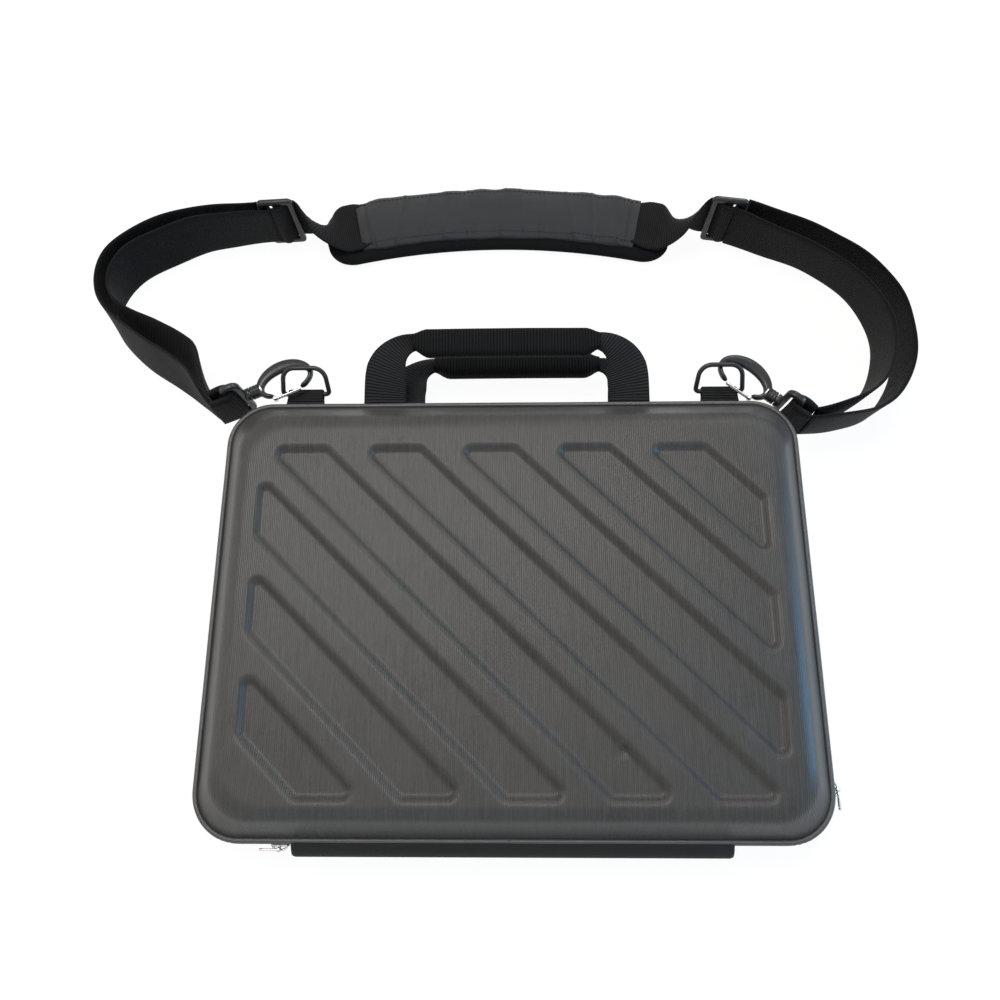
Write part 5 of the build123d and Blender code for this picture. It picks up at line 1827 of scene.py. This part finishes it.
def laptop_bed():
    """Foam bed under the laptop, sewn in its cover."""
    half_x, half_y = BAY_X + BED_MARGIN, BAY_Y + BED_MARGIN
    rows = [(inset, LINING_FACE + rise)
            for inset, rise in ((3.0, 0.0), (1.2, 1.0), (0.1, 2.0), (0.2, 2.6), (0.9, 2.95))]
    rows += [(inset, BED_TOP - dip) for inset, dip in
             ((2.2, 0.0), (4.0, 0.35), (5.2, 0.4), (7.0, 0.05), (12.0, 0.0), (40.0, 0.0), (80.0, 0.0))]
    rings = [plan_ring(half_x - i, half_y - i, max(10.5 - i, 2.0), BAY_SHIFT, h, 8) for i, h in rows]
    bed = loft("laptop_bed_foam", rings, POCKET)
    line = plan_ring(half_x - 4.6, half_y - 4.6, 6.0, BAY_SHIFT, BED_TOP - 0.3, 8)
    seam = beads("laptop_bed_stitches", [line + line[:1]], 3.4, LINING_STITCH, THREAD, wander=0.05)
    both = join("laptop_bed_sewn", [bed, seam])
    keep_edges(both, 60)
    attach(both, "base")
    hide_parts("laptop_bed")


def corner_guard(near, left):
    """Padded L that holds a corner of the laptop."""
    sx, sy = (-1 if left else 1), (-1 if near else 1)
    near_x, near_y = BAY_X - GUARD_LEG, BAY_Y - GUARD_LEG

    def side_line(margin, radius):
        """The L's plan line at a margin past the bay, from its end along Y round the corner."""
        far_x, far_y = BAY_X + margin, BAY_Y + margin
        bent = rounded_outline([(near_x, BAY_Y - 30), (far_x, BAY_Y - 30), (far_x, far_y), (near_x, far_y)],
                               [0.1, 0.1, radius, 0.1], 9)[9:27]
        return np.array([(far_x, near_y)] + [tuple(p) for p in bent if p[1] > near_y] + [(near_x, far_y)])
    outer_even = resample(side_line(BED_MARGIN, 10.5), 1.5)
    inner_even = resample(side_line(0.0, 8.0), 0.5)
    count = len(outer_even)
    s = np.linspace(0, lengths(inner_even)[-1], count)
    inner_even = np.stack([np.interp(s, lengths(inner_even), inner_even[:, i]) for i in range(2)], axis=1)
    rings = []
    for i, (a, b) in enumerate(zip(outer_even, inner_even)):
        end = min(i, count - 1 - i)
        close = (0.25, 0.75, 0.95)[end] if end < 3 else 1.0
        middle, half = (a + b) / 2, (a - b) / 2
        ring = []
        for angle in np.linspace(0, 2 * math.pi, 20, endpoint=False):
            u, v = squared(math.cos(angle), 0.6) * close, squared(math.sin(angle), 0.35)
            top = 0.5 * (1 - close)
            ring.append((*(middle + half * u), BED_TOP + GUARD_HALF_HEIGHT + v * (GUARD_HALF_HEIGHT - top)))
        rings.append(np.array(ring) * (sx, sy, 1) + (0, BAY_SHIFT, 0))
    name = f"corner_guard_{'near' if near else 'far'}_{'left' if left else 'right'}"
    guard = loft(name + "_foam", rings, GUARD_CLOTH)
    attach(guard, "base")
    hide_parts(name)


def retaining_band():
    """Elastic band over the laptop, sewn down at both ends."""
    reach = BAY_Y - 16.0
    ys = np.linspace(-reach, reach, 60) + BAY_SHIFT
    height = BED_TOP + 0.75 + 0.5 * (1 - ((ys - BAY_SHIFT) / reach) ** 6)
    path = np.column_stack([np.zeros(60), ys, height])
    band = ribbon("retaining_band_elastic", path, (1.0, 0, 0), BAND_WIDTH, BAND_THICKNESS, ELASTIC)
    lines = [[(x, BAY_SHIFT + sign * (reach - d), BED_TOP + 1.57) for x in np.linspace(-11, 11, 14)]
             for sign in (-1, 1) for d in (1.5, 6.0)]
    stitches = beads("retaining_band_stitches", lines, 2.2, (0.4, 0.5, 1.6), THREAD)
    both = join("retaining_band_sewn", [band, stitches])
    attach(both, "base")
    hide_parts("retaining_band")


def pocket_sheet():
    """Cloth of the pocket, which sags from its three sewn sides."""
    gx, gy = np.meshgrid(np.linspace(-POCKET_X, POCKET_X, 120), np.linspace(-POCKET_Y, POCKET_Y, 56),
                         indexing="ij")
    from_side, from_foot = POCKET_X - np.abs(gx), gy + POCKET_Y
    edge = np.minimum(from_side, from_foot)
    hang = smooth_step(edge, 0.5, 7.0)
    sag = 0.35 * np.sin(gx / 21.0) * np.sin(gy / 17.0 + 0.5) + 0.2 * np.sin(gx / 8.0 + gy / 11.0)
    height = POCKET_TOP - POCKET_GAP - POCKET_HANG * hang - sag * hang * 0.5
    corner = np.hypot(np.maximum(0, 6 - from_side), np.maximum(0, 6 - from_foot)) / 6
    drawn_in = gx * (1 - 0.012 * np.minimum(corner, 1) * (gy < -POCKET_Y + 6))
    middle = np.stack([drawn_in, gy + POCKET_SHIFT, height], axis=-1).reshape(-1, 3)
    bottom, top = [middle + (0, 0, sign * POCKET_CLOTH / 2) for sign in (-1, 1)]
    quads, rim = grid_faces(gx.shape)
    faces = quads[:, ::-1].tolist() + (quads + gx.size).tolist()
    faces += np.stack([rim, np.roll(rim, -1), np.roll(rim, -1) + gx.size, rim + gx.size], axis=-1).tolist()
    flat = np.stack([gx, gy], axis=-1).reshape(-1, 2)
    sheet = outward(piece("lid_pocket_cloth", np.concatenate([bottom, top]), faces, POCKET,
                          np.concatenate([flat, flat])))
    keep_edges(sheet, 60)
    return sheet


def pocket_stitches():
    """Two rows of stitches round the pocket's three sewn sides."""
    lines = []
    for inset in (1.5, 3.2):
        x, y = POCKET_X - inset, -POCKET_Y + inset
        route = resample(np.array([(-x, POCKET_Y - 2), (-x, y), (x, y), (x, POCKET_Y - 2)]), 3.0)
        drop = np.interp(inset, (0.5, 7.0), (0, 1.0)) ** 2 * POCKET_HANG
        lines.append([(a, b + POCKET_SHIFT, POCKET_TOP - POCKET_GAP - drop - 0.55) for a, b in route])
    return beads("lid_pocket_stitches", lines, 3.2, (0.45, 0.5, 2.3), THREAD, wander=0.05)


def pocket_hem():
    """Elastic tape folded over the pocket's mouth and sewn."""
    hem_y = POCKET_SHIFT + POCKET_Y
    fall = POCKET_TOP - POCKET_GAP - POCKET_HANG
    turn = [(hem_y + y, z) for y, z in ((-10.0, -0.95), (-9.6, -1.35), (-5, -1.5), (-0.6, -1.35), (0.3, -0.6),
                                        (0.45, 0.2), (0.1, 0.8), (-1.0, 0.95), (-1.0, 0.5), (-6, -0.35))]

    def hem_height(x):
        return fall - 0.15 * math.sin(x / 21.0)
    xs = np.linspace(-POCKET_X + 0.2, POCKET_X - 0.2, 90)
    rings = [[(x, y, hem_height(x) + z) for y, z in turn] for x in xs]
    cloth = [[(y, x) for y, _ in turn] for x in xs]
    hem = loft("lid_pocket_hem_tape", rings, ELASTIC, cloth)
    hem_lines = [[(x, hem_y - d, hem_height(x) - 1.52) for x in np.linspace(-POCKET_X + 3, POCKET_X - 3, 90)]
                 for d in (1.6, 8.4)]
    hem_stitches = beads("lid_pocket_hem_stitches", hem_lines, 3.2, (0.4, 0.5, 2.3), THREAD, wander=0.04)
    return join("lid_pocket_hem_sewn", [hem, hem_stitches])


def lid_pocket():
    """Flat pocket hung under the lid's lining, with a bound mouth."""
    cloth_piece = pocket_sheet()
    stitches = pocket_stitches()
    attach(stitches, "lid")
    hem = pocket_hem()
    for thing, node in ((cloth_piece, "lid_pocket"), (hem, "lid_pocket_hem")):
        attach(thing, "lid")
        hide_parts(node)


lining("base_lining_felt", "base_lining", "base", as_base)
lining("lid_lining_felt", "lid_lining", "lid", as_lid)
laptop_bed()
for near_side in (True, False):
    for left_side in (True, False):
        corner_guard(near_side, left_side)
retaining_band()
lid_pocket()


# ---------------------------------------------------------------- stitching round the rims
def rim_stitches():
    """A row of stitches through each binding."""
    points, ways = outline(0.0)
    points = np.concatenate([points, points[:1]])
    ways = np.concatenate([ways, ways[:1]])
    middle = LIP_HEIGHT / 2 + 0.5
    for body, height in (("base", BASE_LIP - middle), ("lid", LID_LIP + middle)):
        line = np.column_stack([points + ways * 0.36, np.full(len(points), height)])
        row = beads(f"{body}_binding_stitches", [line], 3.2, (0.5, 0.5, 2.3), THREAD, wander=0.05)
        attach(row, body)


rim_stitches()
